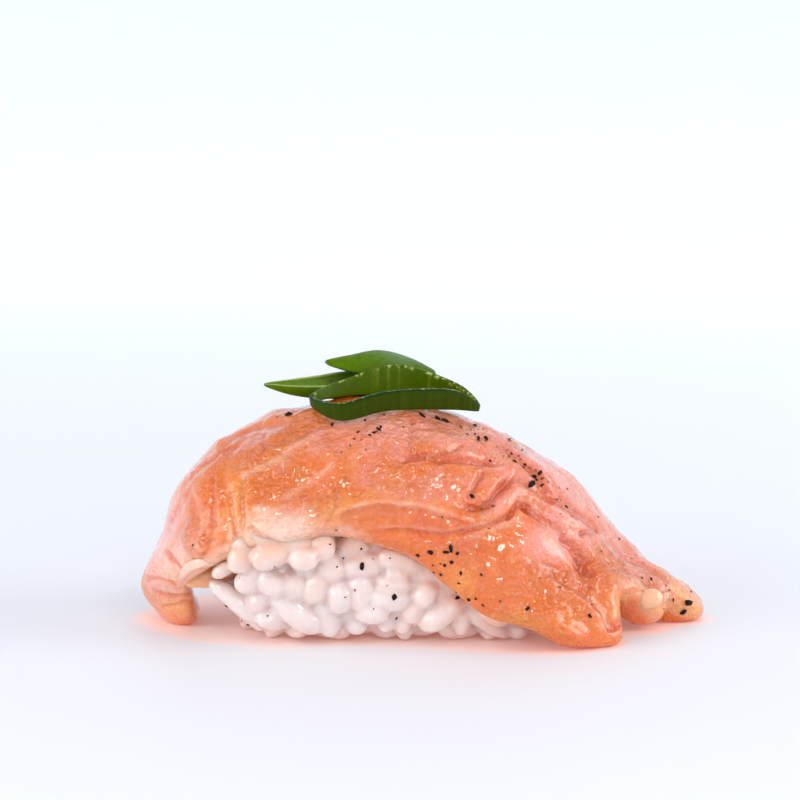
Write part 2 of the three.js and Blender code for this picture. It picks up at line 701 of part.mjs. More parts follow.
const ground = solidOf(new THREE.BoxGeometry(200, 200, 20).translate(0, 0, -10));
const slab = slabSolid(0, flakeRelief);
const slabMesh = meshOf("slab", slab, COLOURS.salmon);
const withWisps = (solid, grow) => {
  const wisps = WISPS.map((wisp) => wispSolid(wisp, slabMesh, grow));
  return wasm.Manifold.union([solid, ...wisps]);
};
const solids = {
  salmon: withWisps(slab, 0).subtract(ground),
  rice: riceSolid(withWisps(slabSolid(GAP, flakeRelief), GAP)),
  onion_ring: ringSolid(RING_LOWER, RING_UPPER),
  onion_low_leaf: leafSolid(LOW_LEAF),
  onion_top_leaf: leafSolid(TOP_LEAF),
};
const meshes = Object.entries(solids).map(([name, solid]) => {
  return meshOf(name, solid, COLOURS[name] ?? COLOURS.onion);
});
const flecks = fleckSolids(meshes);
for (const [host, neighbour] of [["salmon", "rice"], ["rice", "salmon"]]) {
  const own = flecks
    .filter((fleck) => fleck.host === host)
    .map(({ solid }) => solid)
    .filter((solid) => solid.intersect(solids[neighbour]).isEmpty());
  const mesh = meshes.find(({ name }) => name === host);
  mesh.geometry = geometryOf(wasm.Manifold.union([solids[host], ...own]));
}

const object = new THREE.Group();
object.add(...meshes);

export default object;
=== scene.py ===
"""Salmon nigiri: the looks. A slab of lightly seared salmon over a heap of rice,
with three pieces of spring onion and flecks of ground pepper. Sizes are in
millimetres until a mesh is made; +Z is up and the slab's long side is along X."""

import itertools
import math

import bpy
import numpy as np
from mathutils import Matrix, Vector
from mathutils.bvhtree import BVHTree
from mathutils.kdtree import KDTree

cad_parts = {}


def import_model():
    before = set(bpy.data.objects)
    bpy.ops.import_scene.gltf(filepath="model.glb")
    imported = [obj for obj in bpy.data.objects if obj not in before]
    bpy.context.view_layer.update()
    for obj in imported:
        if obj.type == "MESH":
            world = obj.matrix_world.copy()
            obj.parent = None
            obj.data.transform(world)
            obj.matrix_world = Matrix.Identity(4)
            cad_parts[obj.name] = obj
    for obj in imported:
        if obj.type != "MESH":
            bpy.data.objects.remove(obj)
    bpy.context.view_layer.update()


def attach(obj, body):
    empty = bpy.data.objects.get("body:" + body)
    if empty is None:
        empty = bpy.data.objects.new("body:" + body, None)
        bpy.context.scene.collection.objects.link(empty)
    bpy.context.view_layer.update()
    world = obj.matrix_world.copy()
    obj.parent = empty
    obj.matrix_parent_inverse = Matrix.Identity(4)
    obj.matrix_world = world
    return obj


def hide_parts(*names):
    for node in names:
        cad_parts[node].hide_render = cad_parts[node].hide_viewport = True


MM = 0.001


def rows(text):
    """A table's rows: numbers with spaces between them, and commas between rows."""
    return [tuple(map(float, row.split())) for row in text.split(",")]


def lines(text):
    """A table of lines: in each row two numbers, and then the places of the line."""
    return [(*row[:2], list(zip(row[2::2], row[3::2]))) for row in rows(text)]


def painted(*groups):
    """A table of patches, from groups of rows of one colour, kept in their order."""
    return [(colour, *row) for colour, text in groups for row in rows(text)]


# The slab, as the CAD model has it.
SLAB_THICKNESS = 6.6
SLAB_END_THICKNESS = 5.4
SLAB_LEG_THICKNESS = 4.2
SLAB_RIM = 2.4
CORNER_TRIM = 0.05
SLAB_SPREAD = {"length": 92, "width": 46}
SLAB_STEPS = {"along": 392, "across": 192}
LOBES = [
    {"t": -0.42, "half": 0.34, "lift": 1.8, "swell": -1.6, "recess": 0.04},
    {"t": 0.3, "half": 0.6, "lift": 1.5, "swell": 0.9, "recess": 0},
]
END_SLANT = 0.36
# Where the right end starts to part into its lobes, as a share of the slab.
LOBES_START = 0.8
# Between these places across it, the slab goes from the front's marks to the back's.
BACK_FROM, BACK_FULL = 0.12, 0.34

RIDGE = rows("""
    -31.8 2.4 -1.6, -36.5 2.8 4.4, -33.9 2.8 12.6, -30.4 2.2 20.5, -23.2 1.6 25.7, -14.4 1.2 29.1,
    -4.8 .8 29.2, 4.6 .5 27.3, 12.8 .2 23.4, 19.8 .2 18, 25.4 -.2 9.7, 32.4 -3 3.3
""")
FRONT_EDGE = rows("""
    -29.6 -1.5 .2, -29.8 -5 5.8, -27.6 -10 8.8, -22.8 -13.2 11.8, -17 -14.6 13.2, -11.5 -14.8 14.4,
    -6.5 -14.8 13.4, -1.5 -15 11.6, 2.6 -15.3 8.3, 7.6 -15.8 4.6, 14 -16.3 3.8, 22.4 -15.6 -1.4
""")
BACK_EDGE = rows("""
    -32.4 7 -.8, -35 8.6 5, -32 12 11, -24.5 14.8 12.2, -17 15.6 12, -9.5 16 11, -1.5 16.1 10, 6.5 16 8.5,
    14.5 15.6 6.5, 22 15 4.4, 31.8 9.6 4.4, 41.6 1.8 1.4
""")

# The eye that marks on the faces are placed by, and the camera with it. A seen
# place is in millimetres right of and above the place where the origin shows.
EYE_AIM = np.array([-3.07, 0.0, 29.5])
EYE_DISTANCE = 285.0
EYE_ELEVATION = math.radians(8)
FORWARD = np.array([0.0, math.cos(EYE_ELEVATION), -math.sin(EYE_ELEVATION)])
UPWARD = np.array([0.0, math.sin(EYE_ELEVATION), math.cos(EYE_ELEVATION)])
EYE_PLACE = EYE_AIM - EYE_DISTANCE * FORWARD
EYE_LENS = {"focal": 100.0, "sensor": 36.0}

# The CAD model's furrows and swells: half width, rise and seen line.
FRONT_MARKS = lines("""
    1 -.9 -3.5 20.7 -1.9 21.5 2.1 21.4 5.1 21.4 10.2 21.1,
    .9 -.5 2.1 21.8 4.8 23.3,
    .9 -.5 7.9 19.7 6.8 17.9 6.2 16.9,
    1 -1 4.8 15.2 8.4 15.9 9.5 16.9 11.7 19.4,
    1.6 .9 -10.3 14.9 -5.7 15.4 -2.6 15.2 1.3 14.6 4.4 13.4,
    1.3 -.6 -9 12.6 -4 12.9 2.7 12 6.2 12.4 10.8 13.6,
    1.2 -1.1 12.5 16 14.5 14.2 16.7 13.4 18.1 11.2 20.6 8.3,
    1.7 -1.3 20.6 8.3 21 5.2 23.6 2.1 24.3 -.9,
    1.1 -.5 13.5 19.7 16.1 17 20.6 14.3 23 12.8 25.8 10.2,
    1.2 -1.1 25.8 10.2 27.8 7.4 28.6 4.5 27.2 1.2,
    3.4 .7 13.5 10.5 18.5 9,
    2.6 .6 19.5 4.5 21.5 1.5,
    .9 .5 -13.7 24.8 -17.6 21.9 -20.6 20.5,
    .9 .5 -11.2 20.6 -13.7 18.5 -16.9 17,
    .8 -.5 -25.6 19 -25.2 13 -25.8 9,
    .8 -.5 -23.4 18.5 -23.6 11,
    2.2 .8 -21 12.4 -16.4 12.2,
    .9 -.6 -34.5 4.6 -31.8 3.6 -28.6 3.2
""")
BACK_MARKS = lines("""
    1.2 -1 -26 8 -18 12.5 -9 15.5,
    1.1 -.9 -24 14 -15 19 -7 21.5 1 21.8,
    1.6 .8 -14 10.5 -6 13.5 3 14.2,
    1 -.8 -3 17.5 4 18.6 8 22,
    1.1 -.8 6 12.5 13 15.5 19 16,
    1 -.6 15 22.5 21 19 25.5 13,
    1.4 .6 22 16 27 10
""")

# A crack is a finer mark: half width, depth and seen line.
FRONT_CRACKS = lines("""
    .38 .6 -3.6 20.8 -1.9 21.5 .6 21.8 2.1 21.4 5.1 21.4 7.6 21.2 10.8 21,
    .32 .35 2.1 21.8 3.6 22.5 5.6 23.4,
    .26 .25 -1.6 27.4 -1.5 24.2 -1.5 21.8,
    .3 .45 8 20 6.8 18.2 6.2 16.9,
    .3 .45 11.9 19.3 10.3 18.4 9.5 17.4,
    .45 .8 4.9 15.2 6.8 15.3 8.4 15.7 9.7 17.1 11.7 19.2,
    .34 .65 10.6 13.4 12.4 15.7 14 14.7,
    .4 .7 12.4 15.7 14 14.7 16.7 13.3 17.8 12.3 18.1 11,
    .55 .9 17.9 11.6 18.1 10.9 19.2 10.5 20.4 9.3 21 7.6 22.2 6.1,
    .35 .55 19.7 11.7 21.1 12.1 22.9 12.3,
    .3 .4 11.6 18.9 13.3 17.9 14.8 16.9 16.7 15.7 20.2 13.4 23.1 11.6,
    .42 .6 8.9 23.6 11.9 21.5 14.5 19.2 15.4 17.6 18.9 15.2 24.2 11.6,
    .3 .35 22.9 7.4 25.3 7.1 26.7 6.4 28 5.6 31.2 3.7,
    .4 .6 27.4 3.7 26.5 1.9 24 -.7,
    .26 .3 -20.3 24.8 -20.5 23.3 -20 22.1,
    .3 .4 -33.2 9.8 -31.9 8.3 -30.5 6.5,
    .26 .35 -35.7 6.1 -33.4 6 -31.1 5.2,
    .26 .3 -35.1 4.4 -32.5 3.7 -29.2 4.2,
    .26 .25 -33.8 2.5 -31.2 2.8 -28.8 3.2,
    .26 .25 23.1 11.6 26.5 8.8 29 7.5 31.9 4.7,
    .28 .35 -7.5 12.1 -3 12.4 1.2 11.9 4.8 12.1 8.8 13.3 11.1 14.4 12.4 15.7,
    .3 .3 -24.6 18 -24.7 15.3 -24.1 10.5,
    .26 .25 -23.3 18.5 -23.2 14.7 -23.4 11.5,
    .26 .25 -26.8 19.8 -27.1 16 -26.9 12.1,
    .26 .22 -11.4 18.5 -11.2 16 -11.7 13.9,
    .24 .2 -31 16.6 -29.2 19.5 -26.4 21.8 -22.6 23.4,
    .24 .2 -32.6 12.6 -31.2 15.4 -29.6 17.4,
    .24 .2 14.5 8.2 17.8 7 20 5.6
""")
# A lip is the edge of a flake that lies over the face below it: half width,
# rise and a line with the flake on its left.
FRONT_LIPS = lines("""
    1 .3 -11.4 13.5 -9.7 14.7 -6.9 15.3 -3.3 15.3 -.2 15 2.6 14.2 7.2 12.6,
    .8 .14 -7.5 12.1 -3 12.4 1.2 11.9 4.8 12.1 8.8 13.3 12.4 15.7,
    1 .3 -22.5 13.2 -20.7 12 -17.9 10.6 -15.9 10.9,
    1.2 .4 24 -1.1 22.9 1 20.4 3.4 17.9 5 15.2 6.9,
    .9 .3 31.2 3.7 29.7 4.8 28 5.6 26.7 6.4,
    1 .35 -26.5 22.3 -24.3 24.2 -21 25.8 -17 26.8,
    .8 .25 13.2 16.8 16 15.2 18.9 13.3 20 12.4,
    .8 .25 24.2 9.9 21.5 13.4 17.4 16.6 14.4 20.4
""")
# A band is a line of pale fat: half width, strength and seen line.
FRONT_BANDS = lines("""
    .45 .8 -13.3 25 -15.9 23.3 -18.5 21.4 -21.2 20.1 -24 18.4,
    .45 .7 -11 21.1 -13.3 19.2 -15.9 17.5 -18.3 15.9,
    .4 .5 -8.2 24.1 -5 25.6 -1.5 26.5,
    .35 .8 -11.4 13.7 -9.7 14.9 -6.9 15.6 -3.3 15.6 -.2 15.2 4.8 13.2,
    .22 .6 -7.5 12.4 -3 12.7 1.2 12.2 4.8 12.4 8.8 13.6 11.8 15.4,
    .35 .6 -31.5 17.3 -29.7 20.1 -26.8 22.4 -22.9 24.2,
    .3 .5 -32.8 13.4 -31.5 16 -30 18 -27.4 20.1,
    .3 .7 12 16.6 14.5 15.3 17.2 14 18.9 12.5,
    .4 .5 7 14.2 9.5 14.8 11.8 16.6,
    .25 .6 15 7.2 17.9 5.3 20.4 3.7 22.9 1.3,
    .25 .6 18 13 19 11 20.6 9.9 21.4 8,
    .25 .5 -30 19.2 -28.6 14 -29 9
""")
BACK_BANDS = lines("""
    .6 .7 -24 11 -15 15.5 -6 17.8 4 17.6 14 14,
    .6 .6 -20 17.5 -11 22 -2 23.5 8 22.8 18 18.5,
    .6 .6 -25 6 -15 9.5 -4 11.6 8 10.8 18 8,
    .5 .5 10 25 18 20.5 26 12 30 6
""")

# The flesh is amber and translucent, under a film that searing turned pink.
AMBER = (225, 108, 12)
FILM = (234, 142, 116)
# Deep orange is the flesh's deeper colour, and is also painted as shade in cracks, under flake edges and
# down in grooves.
DEEP = (214, 84, 22)
PALE = (252, 208, 184)
MILKY = (250, 224, 206)
GOLD = (240, 160, 66)
OLIVE = (160, 104, 40)
BLUSH = (248, 172, 164)
# Where the film is thicker, above 0, or thinner: seen place, half widths, turn in
# degrees and strength.
FRONT_FILM = rows("""
    -.5 25.2 11 2.8 0 .75, 12.5 21.5 7 3 -35 .8, 16.6 10.8 4.8 3.6 20 .42, 22.5 15.2 8 2.6 -38 .9,
    28.5 8.6 7 2.2 -40 .8, -33 14.5 2.4 9 -14 .7, -34 7.5 2.8 5 0 .6, -25 24.6 8 2 34 .5,
    -2 18.6 8.5 2 4 .2, 12 16.2 5 2.6 -25 .35, -29.5 10.5 1.6 3.6 10 .4, -16.5 22.6 4 1 36 .3,
    -25.5 15 3.8 6.5 -8 -.9, -11.5 15.8 4.2 2.8 0 -.6, -18 18 5.5 4 20 -.35, -14.5 25 4.5 1.8 25 -.3,
    10 2.6 7.5 3.4 -15 -1, 7 7.6 5.5 4 -30 -.9, 26 3 3.6 3.4 0 -.8, 32.5 2.6 4.5 1.9 -25 -.7,
    20.2 3.6 3.6 5 -35 -.5, 22.8 6.2 3.6 2 -30 -.4, -31 3 4 2.4 0 -.5, 0 12.4 10 1.8 -6 -1.1,
    15.5 -1.4 9 1.6 0 -.5
""")
BACK_FILM = rows("""
    -2 25 18 4 0 .5, 20 19 9 4 -40 .5, -24 14 8 5 35 .7, 30 9 3 6 0 .6, -10 12 8 3 15 -.5, 12 8 8 3 -10 -.6,
    -28 3 6 3 0 -.6
""")
# Patches of colour, each with the same six numbers, painted one over the other.
FRONT_PATCHES = painted(
    (MILKY, "-18.6 12.2 4.8 2 -6 .5"),
    # Paler at the right tip and at the left leg: painted light, for light glowing through the thin ends.
    (PALE, "31 3 6 3 -25 .5, -32 5 4 5 0 .62"),
    # Deep orange patches: painted shade under flake edges and down in grooves.
    (DEEP, """
        0 13.2 8.5 1.1 -8 .6, 1 10.8 6 .8 -8 .4, 6.6 10.4 4 1.8 -20 .35, 21 6.4 1.6 3.4 35 .6,
        27 1 1.2 2 60 .4
    """),
    (GOLD, """
        -24 14.6 1.6 4.6 -6 .7, -21.5 11.4 1.2 3 0 .5, -11 15 3.4 1.6 0 .6, 26.2 2.2 2.4 2.4 0 .6,
        32.5 1.4 3.4 .9 -20 .6, 4.6 5.2 1.6 2.6 30 .5, 10.5 .2 6 1.2 -5 .5, -30.6 2.4 2.4 1.6 0 .5
    """),
    (BLUSH, "16.8 11.2 3.8 2.6 20 .8, 13.5 21.4 5 1.4 -38 .6, -33.6 12 1.4 6 -12 .6"),
    (PALE, "-17.8 13 5.6 2 0 .55"),
    (MILKY, "-18.6 11.4 5.2 1.1 5 .6, -10.2 11.8 2.6 .9 0 .4"),
    (PALE, "-27 8.6 3 1.1 15 .7, -32 8.4 2.2 1.6 -30 .5, 8.6 12.4 3.4 .7 20 .4"),
    (OLIVE, """
        -10.6 22.1 .6 .5 0 .5, -10.2 19 .8 .6 0 .4, 11 23.7 .8 .5 -30 .7, 12.6 22.4 .8 .5 -30 .6,
        7.4 14.8 .7 .4 0 .5, 8.9 15.2 .7 .4 0 .5, 14.6 19.2 1.6 .8 -40 .45, 7 24.6 3 .5 -20 .3
    """),
)
BACK_PATCHES = painted(
    # At -33 seen from behind is the right tip: its milky and gold patches are painted light, for light
    # glowing through the thin end.
    (MILKY, "-33 2.4 6 4 20 .35"),
    (GOLD, "-33 2.4 6 4 20 .5"),
    (DEEP, "2 9 10 1.6 0 .4"),
    (GOLD, "-8 12.5 5 1.6 15 .5, 12 6 5 1.8 -10 .5"),
    (PALE, "-20 6 5 2 25 .4"),
    (BLUSH, "6 24.5 8 2.4 -10 .5"),
)
# Where the surface is puckered and sparkles, with the same six numbers.
FRONT_PUCKERS = rows("""
    -20.5 19.6 3.4 3.2 20 1, -3 24 6 2.6 0 .9, -2.5 19.2 5 2.6 -5 1, -29.2 11.6 1.8 2.2 0 1,
    -14.5 16.5 4.5 3.4 0 .7, -17 22.4 4 2 30 .7, 17.8 4.2 4.5 1.6 -40 .9, 20.6 4.6 2.4 1.6 -55 1,
    24.5 7.8 4 2 -35 .8, 26.4 5.4 2 1.6 0 .8, 10 23.6 4 1.6 -25 .8, 14 15.8 4 1.4 -30 .5,
    30.5 5.4 3 1.6 -35 .8, 12.5 1 4 1.2 0 .6
""")

# The heap of rice: a smooth skin that the grains lie just under.
HEAP_CENTRE = np.array([-4.7, 0.2, 7.2])
HEAP_HALF = {"x": 21.3, "y": 12.8, "top": 15.6, "bottom": 8.0}
HEAP_SQUARENESS = {"plan": 2.9, "height": 2.5}
HEAP_CORE = 0.935  # the core's size, as a share of the heap's
CORE_STEPS = {"around": 48, "up": 24}
GROUND_GAP = 0.1  # how far the rice stays above the ground
GRAIN_STEPS = {"along": 22, "around": 16}
GRAIN_LAYERS = [  # depth under the heap's skin, number of grains
    {"depth": 1.5, "count": 120},
    {"depth": 3.6, "count": 90},
]
GRAIN_SEED = 5
GRAIN_JOIN = {"cell": 0.26, "smoothings": 2}  # how touching grains are joined
GRAIN_LENGTHS, GRAIN_WIDTHS = (6.4, 8.2), (3.4, 4.0)
# How near grains settle to each other, the slab and the ground, in half widths.
SETTLE = {"rounds": 70, "apart": 0.7, "off_slab": 0.75, "off_ground": 0.92}
# The share of what is missing that they make up in a round, and their longest move.
SETTLE_MOVES = {"push": 0.35, "slab_push": 0.5, "pull": 0.25, "turn": 0.7, "most": 0.6}
SLAB_NEAR = 9  # a grain further from the slab isn't pushed by it
# A front grain lies nearly along the heap's skin, sunk by a share of its width, and
# is larger than what shows of it. Other grains keep this far from it.
FRONT_GRAIN = {"flat": 0.8, "sink": 0.36, "depth": 0.4, "free": 0.1, "longer": 1.05, "wider": 1.1}
FRONT_GRAIN_ROOM = 1.5
LOOSE_GRAIN_FLAT = 0.93
# The rice's own colour, its warm tone and painted light from the salmon beside it, painted
# shade down between the grains, and the cloudy parts of the rice and of the fat.
RICE_WHITE, RICE_WARM_AND_SALMON_LIGHT, RICE_GAP_SHADE = (234, 217, 212), (240, 182, 148), (236, 202, 182)
RICE_CLOUD, FAT_CLOUD = (240, 232, 230), (246, 196, 158)
# Grains that show at the front: seen centre, turn in degrees, length, width.
FRONT_GRAINS = rows("""
    -23.4 8.3 20 3.8 3.4, -18.7 8 100 5.4 3.1, -22.4 5.5 10 3.8 3.4, -15.5 8 80 3.5 3.2,
    -12.3 7.4 95 4.2 3.2, -8.7 9.8 60 4.6 3.8, -8 7.9 0 5.6 3.1, -2.3 8.2 5 6.2 3.1, -3.3 6.6 -25 2.8 1.9,
    -3.7 5 0 4.4 2.2, -17 1.6 -42 7.7 3.3, -13 1.1 95 5.9 3.4, -23.9 2.6 -38 8.2 3.3, -11 3.2 80 4.4 3.4,
    -8.7 -.4 10 2.6 2.4, -5.1 .2 85 2.6 2.2, -2.6 -.3 80 2.6 2.2, 2.6 1.4 38 6.7 3.9, .4 3.5 60 3.6 2.8,
    5.6 .3 75 3.8 2.4, 8.6 .5 -33 6.9 2.4, -17.4 5.1 -15 4.6 3.5, -4.8 2.9 5 5.6 3.1, -1.4 1.4 80 3.3 2.6,
    -8.4 3.7 90 5.1 3.3, -14.3 4.7 60 4.6 3.1, -6.7 1.6 -20 4.6 2.8
""")
# Grains that stick out under and over the slab's lower edge: seen place, y, turn
# in degrees, length and width.
EDGE_GRAINS = rows("""
    -23.7 8.6 -11.8 80 4.2 3.6, -18.6 11.2 -12.7 -6 8.6 3.6, -22.8 10.4 -12.4 25 4.2 2.8,
    -19.5 8.7 -13.2 20 5.2 3.8, -15.4 8.4 -13.6 10 3.8 3, -12.9 10.2 -12.5 100 4.2 3.2,
    -25.6 7 -10.5 30 3.4 2.2, -22.4 5.6 -10.8 10 3.9 3.3, -24.2 2.9 -9 -39 8.4 3,
    -21.2 7.4 -10.6 60 4.5 3.4, -19.4 5.4 -11.2 -30 4.6 3.6, -20.8 3.4 -9.6 60 4.4 3.4
""")

# Flecks of ground pepper: seen place and length.
BLACK_FLECKS = rows("""
    .8 9.3 .77, 2.9 9.3 .77, 3.5 9.7 1.02, 4.3 9.1 .51, -.8 8.9 .51, 1.2 7.6 .32, 2.2 7.8 .26, 2.7 7.6 .45,
    3.6 8 .51, 1.3 6.7 .32, 2.2 6.4 .38, 4.8 6.6 .51, 4.5 5.3 .38, 7.4 6.4 .38, 4.2 4.1 .26, 4.4 3.5 .77,
    5.8 3.2 .51, 6.7 3.3 .38, 7.6 2.5 .51, 8.6 3.2 .19, 9.8 3 .32, 8.4 12.3 .26, -7.9 7.5 .96, -3.8 3.5 .77,
    -3.5 .8 .51, -8 9.7 .32, -10.3 8.5 .32, -11.1 7.4 .32, -6.5 8.4 .26, -4.3 8.5 .26, -5.7 6.6 .19,
    -12 10.3 .38, -11.2 12.1 .32, -10.5 11.2 .26, -4.7 5 .19, -6.4 2 .19, -25.3 2.4 .45, -23.3 .5 .32,
    -22.5 0 .51, -23.6 6 .15, -20 1.1 .26, -29.6 10.2 .32, 13.3 2.1 .64, 21.3 1.1 .64, 21.6 2.6 .26,
    17.5 4.8 .26, 14.9 6 .19, 22.8 9.4 .26, 28 6 .38, 29.2 5.8 .51, 33.9 2.8 1.15, 33.3 1.6 .9,
    34.3 4.2 .32, 32 3.2 .51, 27.9 9.8 .26, 27.1 8.9 .19, 26.7 8.5 .19, -17.3 26.9 1.02, -11.7 25.6 .77,
    -18.8 26.6 .26, -8.9 23.8 .38, -9.4 23 .32, -5.8 25 .77, -5.5 25.3 .51, -6.4 24.6 .51, -6.9 24.3 .38,
    -8.4 24.7 .51, -7.9 24.4 .26, -8 23.7 .26, -7.4 22.4 .26, -7.5 26.2 .51, -5.1 26.9 .38, -2.6 25.3 .26,
    -.2 26.8 .9, 1.8 26.4 .77, 2.7 26.1 1.02, -6 20.3 .19, 6.6 25.5 .64, 7.6 25.1 .26, 5.6 24.4 .38,
    6.6 24.4 .38, 7 23.8 .9, 8 23.9 .64, 10.7 22.4 .26, 11.3 21.9 .38, 10.2 21.6 .26, 11 21.6 .26,
    11.7 20.9 .64, 13 20.5 .38, 12.8 20.1 .38, 8.5 21 .38, 14.9 19.4 .77, 14.2 18.9 .77, 14.5 18.5 .51,
    15.2 17.9 .64, 13.8 18 1.15, 17.4 17.5 .26, 18.4 17.4 .26, 6.1 16.5 .77, 2.4 13.8 .26, 17 16 .45,
    17.6 16 .26, 18.3 15.1 .51, 22.4 13.8 .32, 17.5 14.2 .19, 19 13.9 .19, 25.1 11 .38
""")
BROWN_FLECKS = rows("""
    -8.8 4.4 .32, -10.1 3.5 .32, -19.1 7.4 .38, 29.3 3.4 .51, 28.1 7.9 .19, 31.1 5 .26, 31.5 4.4 .26,
    31.2 4.2 .19, -9.4 22.9 .26, 8 23.6 .38, 4.8 25.3 .64, 15.2 18.7 .51, -21.9 18.3 .19, -6.1 24.7 .51,
    11 23.7 .51, 12.6 22.4 .51, 7.4 14.8 .51, 8.9 15.2 .51, -10.6 22.1 .38, 14.4 19.8 .38, 13.6 20.1 .38,
    9.4 22.8 .26, 12.4 21.2 .26, 7 25 .26, 6.1 25 .26, 4.2 25.7 .26, 3.4 25.9 .26, 16 18.3 .32,
    16.5 17.8 .26, 14.2 19.6 .26, 12.2 21.6 .32, 30.8 2 .26
""")
BACK_FLECKS = {"count": 90, "across": (-26, 26), "up": (6, 28), "length": (0.2, 0.9)}
PEPPERS = {  # flecks, dark colour and light colour
    "black": (BLACK_FLECKS, (22, 8, 6), (56, 28, 22)),
    "brown": (BROWN_FLECKS, (112, 56, 26), (150, 100, 50)),
}
FLECK_SCALE = 1.12
FLECK_LIFT = 0.1  # how far a fleck stands out, as a share of its length
FLECK_SEED = 11

# The spring onion, as the CAD model has it.
ONION_WALL = 0.9
RING_LOWER = rows("""
    6.7 1.4 27.9, 3.6 4.2 28.5, -3.2 3.6 29.7, -9.8 .8 29.9, -14 -3.2 29.4, -10.4 -7 27.9, -4.6 -4.4 28.8,
    3.4 -.8 28.4
""")
RING_UPPER = rows("""
    6.9 1.4 28.8, 4.2 3.2 31.2, -3.2 4 33.6, -9.8 1.2 32.2, -14.2 -3 30.6, -10.6 -7.2 30.1, -4.6 -4.8 31.3,
    3.6 -1.2 31
""")
RING_STEPS = {"around": 420, "section": 36}
LOW_LEAF = {
    "spine": rows("-20.6 1.2 31.3, -17.2 2.1 30.3, -13.2 3.7 29.7, -9 5.8 29.5, -4.8 8 28.9"),
    "half_width": 4.0,
    "curl": 1.45,
    "opening": 1,
    "roll": 0.2,
    "point": 0.8,
}
TOP_LEAF = {
    "spine": rows("-12.8 4.8 33.9, -9.4 6.2 34.2, -5.6 7.5 34.6, -1.8 8.3 33.5, 1.6 8.7 31.7"),
    "half_width": 5.1,
    "curl": 1.6,
    "opening": -1,
    "roll": 0,
    "point": 0.7,
}
LEAF_STEPS = {"along": 120, "across": 60}
ONION_SKIN, ONION_INNER, ONION_BRIGHT = (52, 64, 0), (70, 92, 2), (88, 122, 4)
# Pale is the leaves' light rims and the painted highlight dots on the ring's upper rim.
ONION_PALE_AND_GLINT, ONION_DARK = (190, 204, 120), (10, 44, 6)
ONION_STREAK, ONION_SHEEN = (150, 150, 50), (120, 150, 110)
ONION_VEIN, ONION_SHADE = (0.12, 0.22, 0.002), (0.016, 0.05, 0.004)  # linear

# Scraps along seen lines: half width, flatness, lift off the slab and colour.
WISP = rows("-31.2 5.9, -30.2 7.2, -28.6 7.9, -26.9 7.7")
SHRED = rows("-30.6 5.2, -29 5.9, -27 6.2, -25.2 6.6, -23.6 7.4")
STRIPS = {
    "salmon_wisp": (WISP, 0.52, 0.35, 0.25, (250, 200, 176)),
    "salmon_shred": (SHRED, 1.25, 0.5, -0.6, (242, 168, 114)),
}
STRIP_STEPS = {"along": 60, "section": 20}
STUCK_GRAIN = {
    "seen": (29.0, 3.3),
    "length": 3.2,
    "width": 2.6,
    "lift": 0.1,
    "seed": 3,
    "colour": (244, 182, 138),
}
STUCK_GRAIN_AXIS = np.array([0.95, 0.0, 0.3]) / math.hypot(0.95, 0.3)

# The studio, in metres: a flat floor that bends up into a wall, and the lamps.
FLOOR = {"flat": 0.45, "bend": 0.45, "turns": 280, "flat_rings": 200, "bend_rings": 14}
# Its linear colours: of its paper near, far and in the salmon's glow, and of its own
# light out of the glow and in it.
PAPER_NEAR, PAPER_FAR, PAPER_GLOW = (0.87, 0.88, 0.92), (0.81, 0.86, 0.925), (1.0, 0.62, 0.50)
LIGHT_PLAIN, LIGHT_GLOW = (0.80, 0.87, 0.95), (1.0, 0.42, 0.30)
# The glow on the floor of the slab's points below a height: the height, reach and
# strength, in millimetres. It falls further back by a share of a point's height.
GLOWS = [(math.inf, 0.9, 0.38), (4, 0.8, 0.46)]
GLOW_FALL = 0.25
LAMP_AIM = (0, 0, 0.015)
SMALL_LAMP = (0.05, 0.17)
LAMPS = {  # place, size and power
    "key": ((-0.22, -0.40, 0.46), *SMALL_LAMP),
    "top": ((0.08, 0.05, 0.60), 0.40, 0.2),
    "rim": ((0.05, 0.45, 0.45), 0.35, 0.3),
    "left": ((-0.55, -0.25, 0.20), 0.30, 1.0),
    "right": ((0.55, -0.10, 0.24), 0.30, 1.3),
    "glint_1": ((0.26, -0.28, 0.46), *SMALL_LAMP),
    "glint_2": ((0.02, -0.46, 0.46), *SMALL_LAMP),
    "glint_3": ((-0.34, -0.16, 0.50), *SMALL_LAMP),
    "glint_4": ((0.14, -0.50, 0.26), *SMALL_LAMP),
    "glint_5": ((-0.36, -0.46, 0.22), *SMALL_LAMP),
    "glint_6": ((-0.08, -0.24, 0.62), *SMALL_LAMP),
}
SKY = {"Color": (0.95, 0.95, 1.0, 1), "Strength": 0.48}


# ------------------------------------------------------------------- numbers


def smoothstep(value, low, high):
    share = np.clip((value - low) / (high - low), 0, 1)
    return share * share * (3 - 2 * share)


def hump(x):
    """1 in the middle, 0 from 1 away, with a round top."""
    return np.where(np.abs(x) < 1, (1 - np.minimum(np.abs(x), 1) ** 2) ** 2, 0)


def bell(x):
    """1 in the middle, with soft tails."""
    return np.exp(-(x**2))


def full_turn(count):
    return np.linspace(0, 2 * math.pi, count, endpoint=False)


def unit(vectors):
    return vectors / np.maximum(np.linalg.norm(vectors, axis=-1, keepdims=True), 1e-9)


def rail(points, closed=False):
    """A smooth curve through evenly shared points, as a function of 0 to 1."""
    given = np.array(points, float)
    if closed:
        padded = np.vstack([given[-1:], given, given[:2]])
    else:
        padded = np.vstack([2 * given[0] - given[1], given, 2 * given[-1] - given[-2]])
    spans = len(padded) - 3

    def place(share):
        at = np.asarray(share, float) * spans
        span = np.clip(np.floor(at).astype(int), 0, spans - 1)
        w = (at - span)[..., None]
        before, a, b, after = (padded[span + k] for k in range(4))
        out, back = (b - before) / 2, (after - a) / 2
        return a + out * w + (3 * (b - a) - 2 * out - back) * w**2 + (2 * (a - b) + out + back) * w**3

    return place


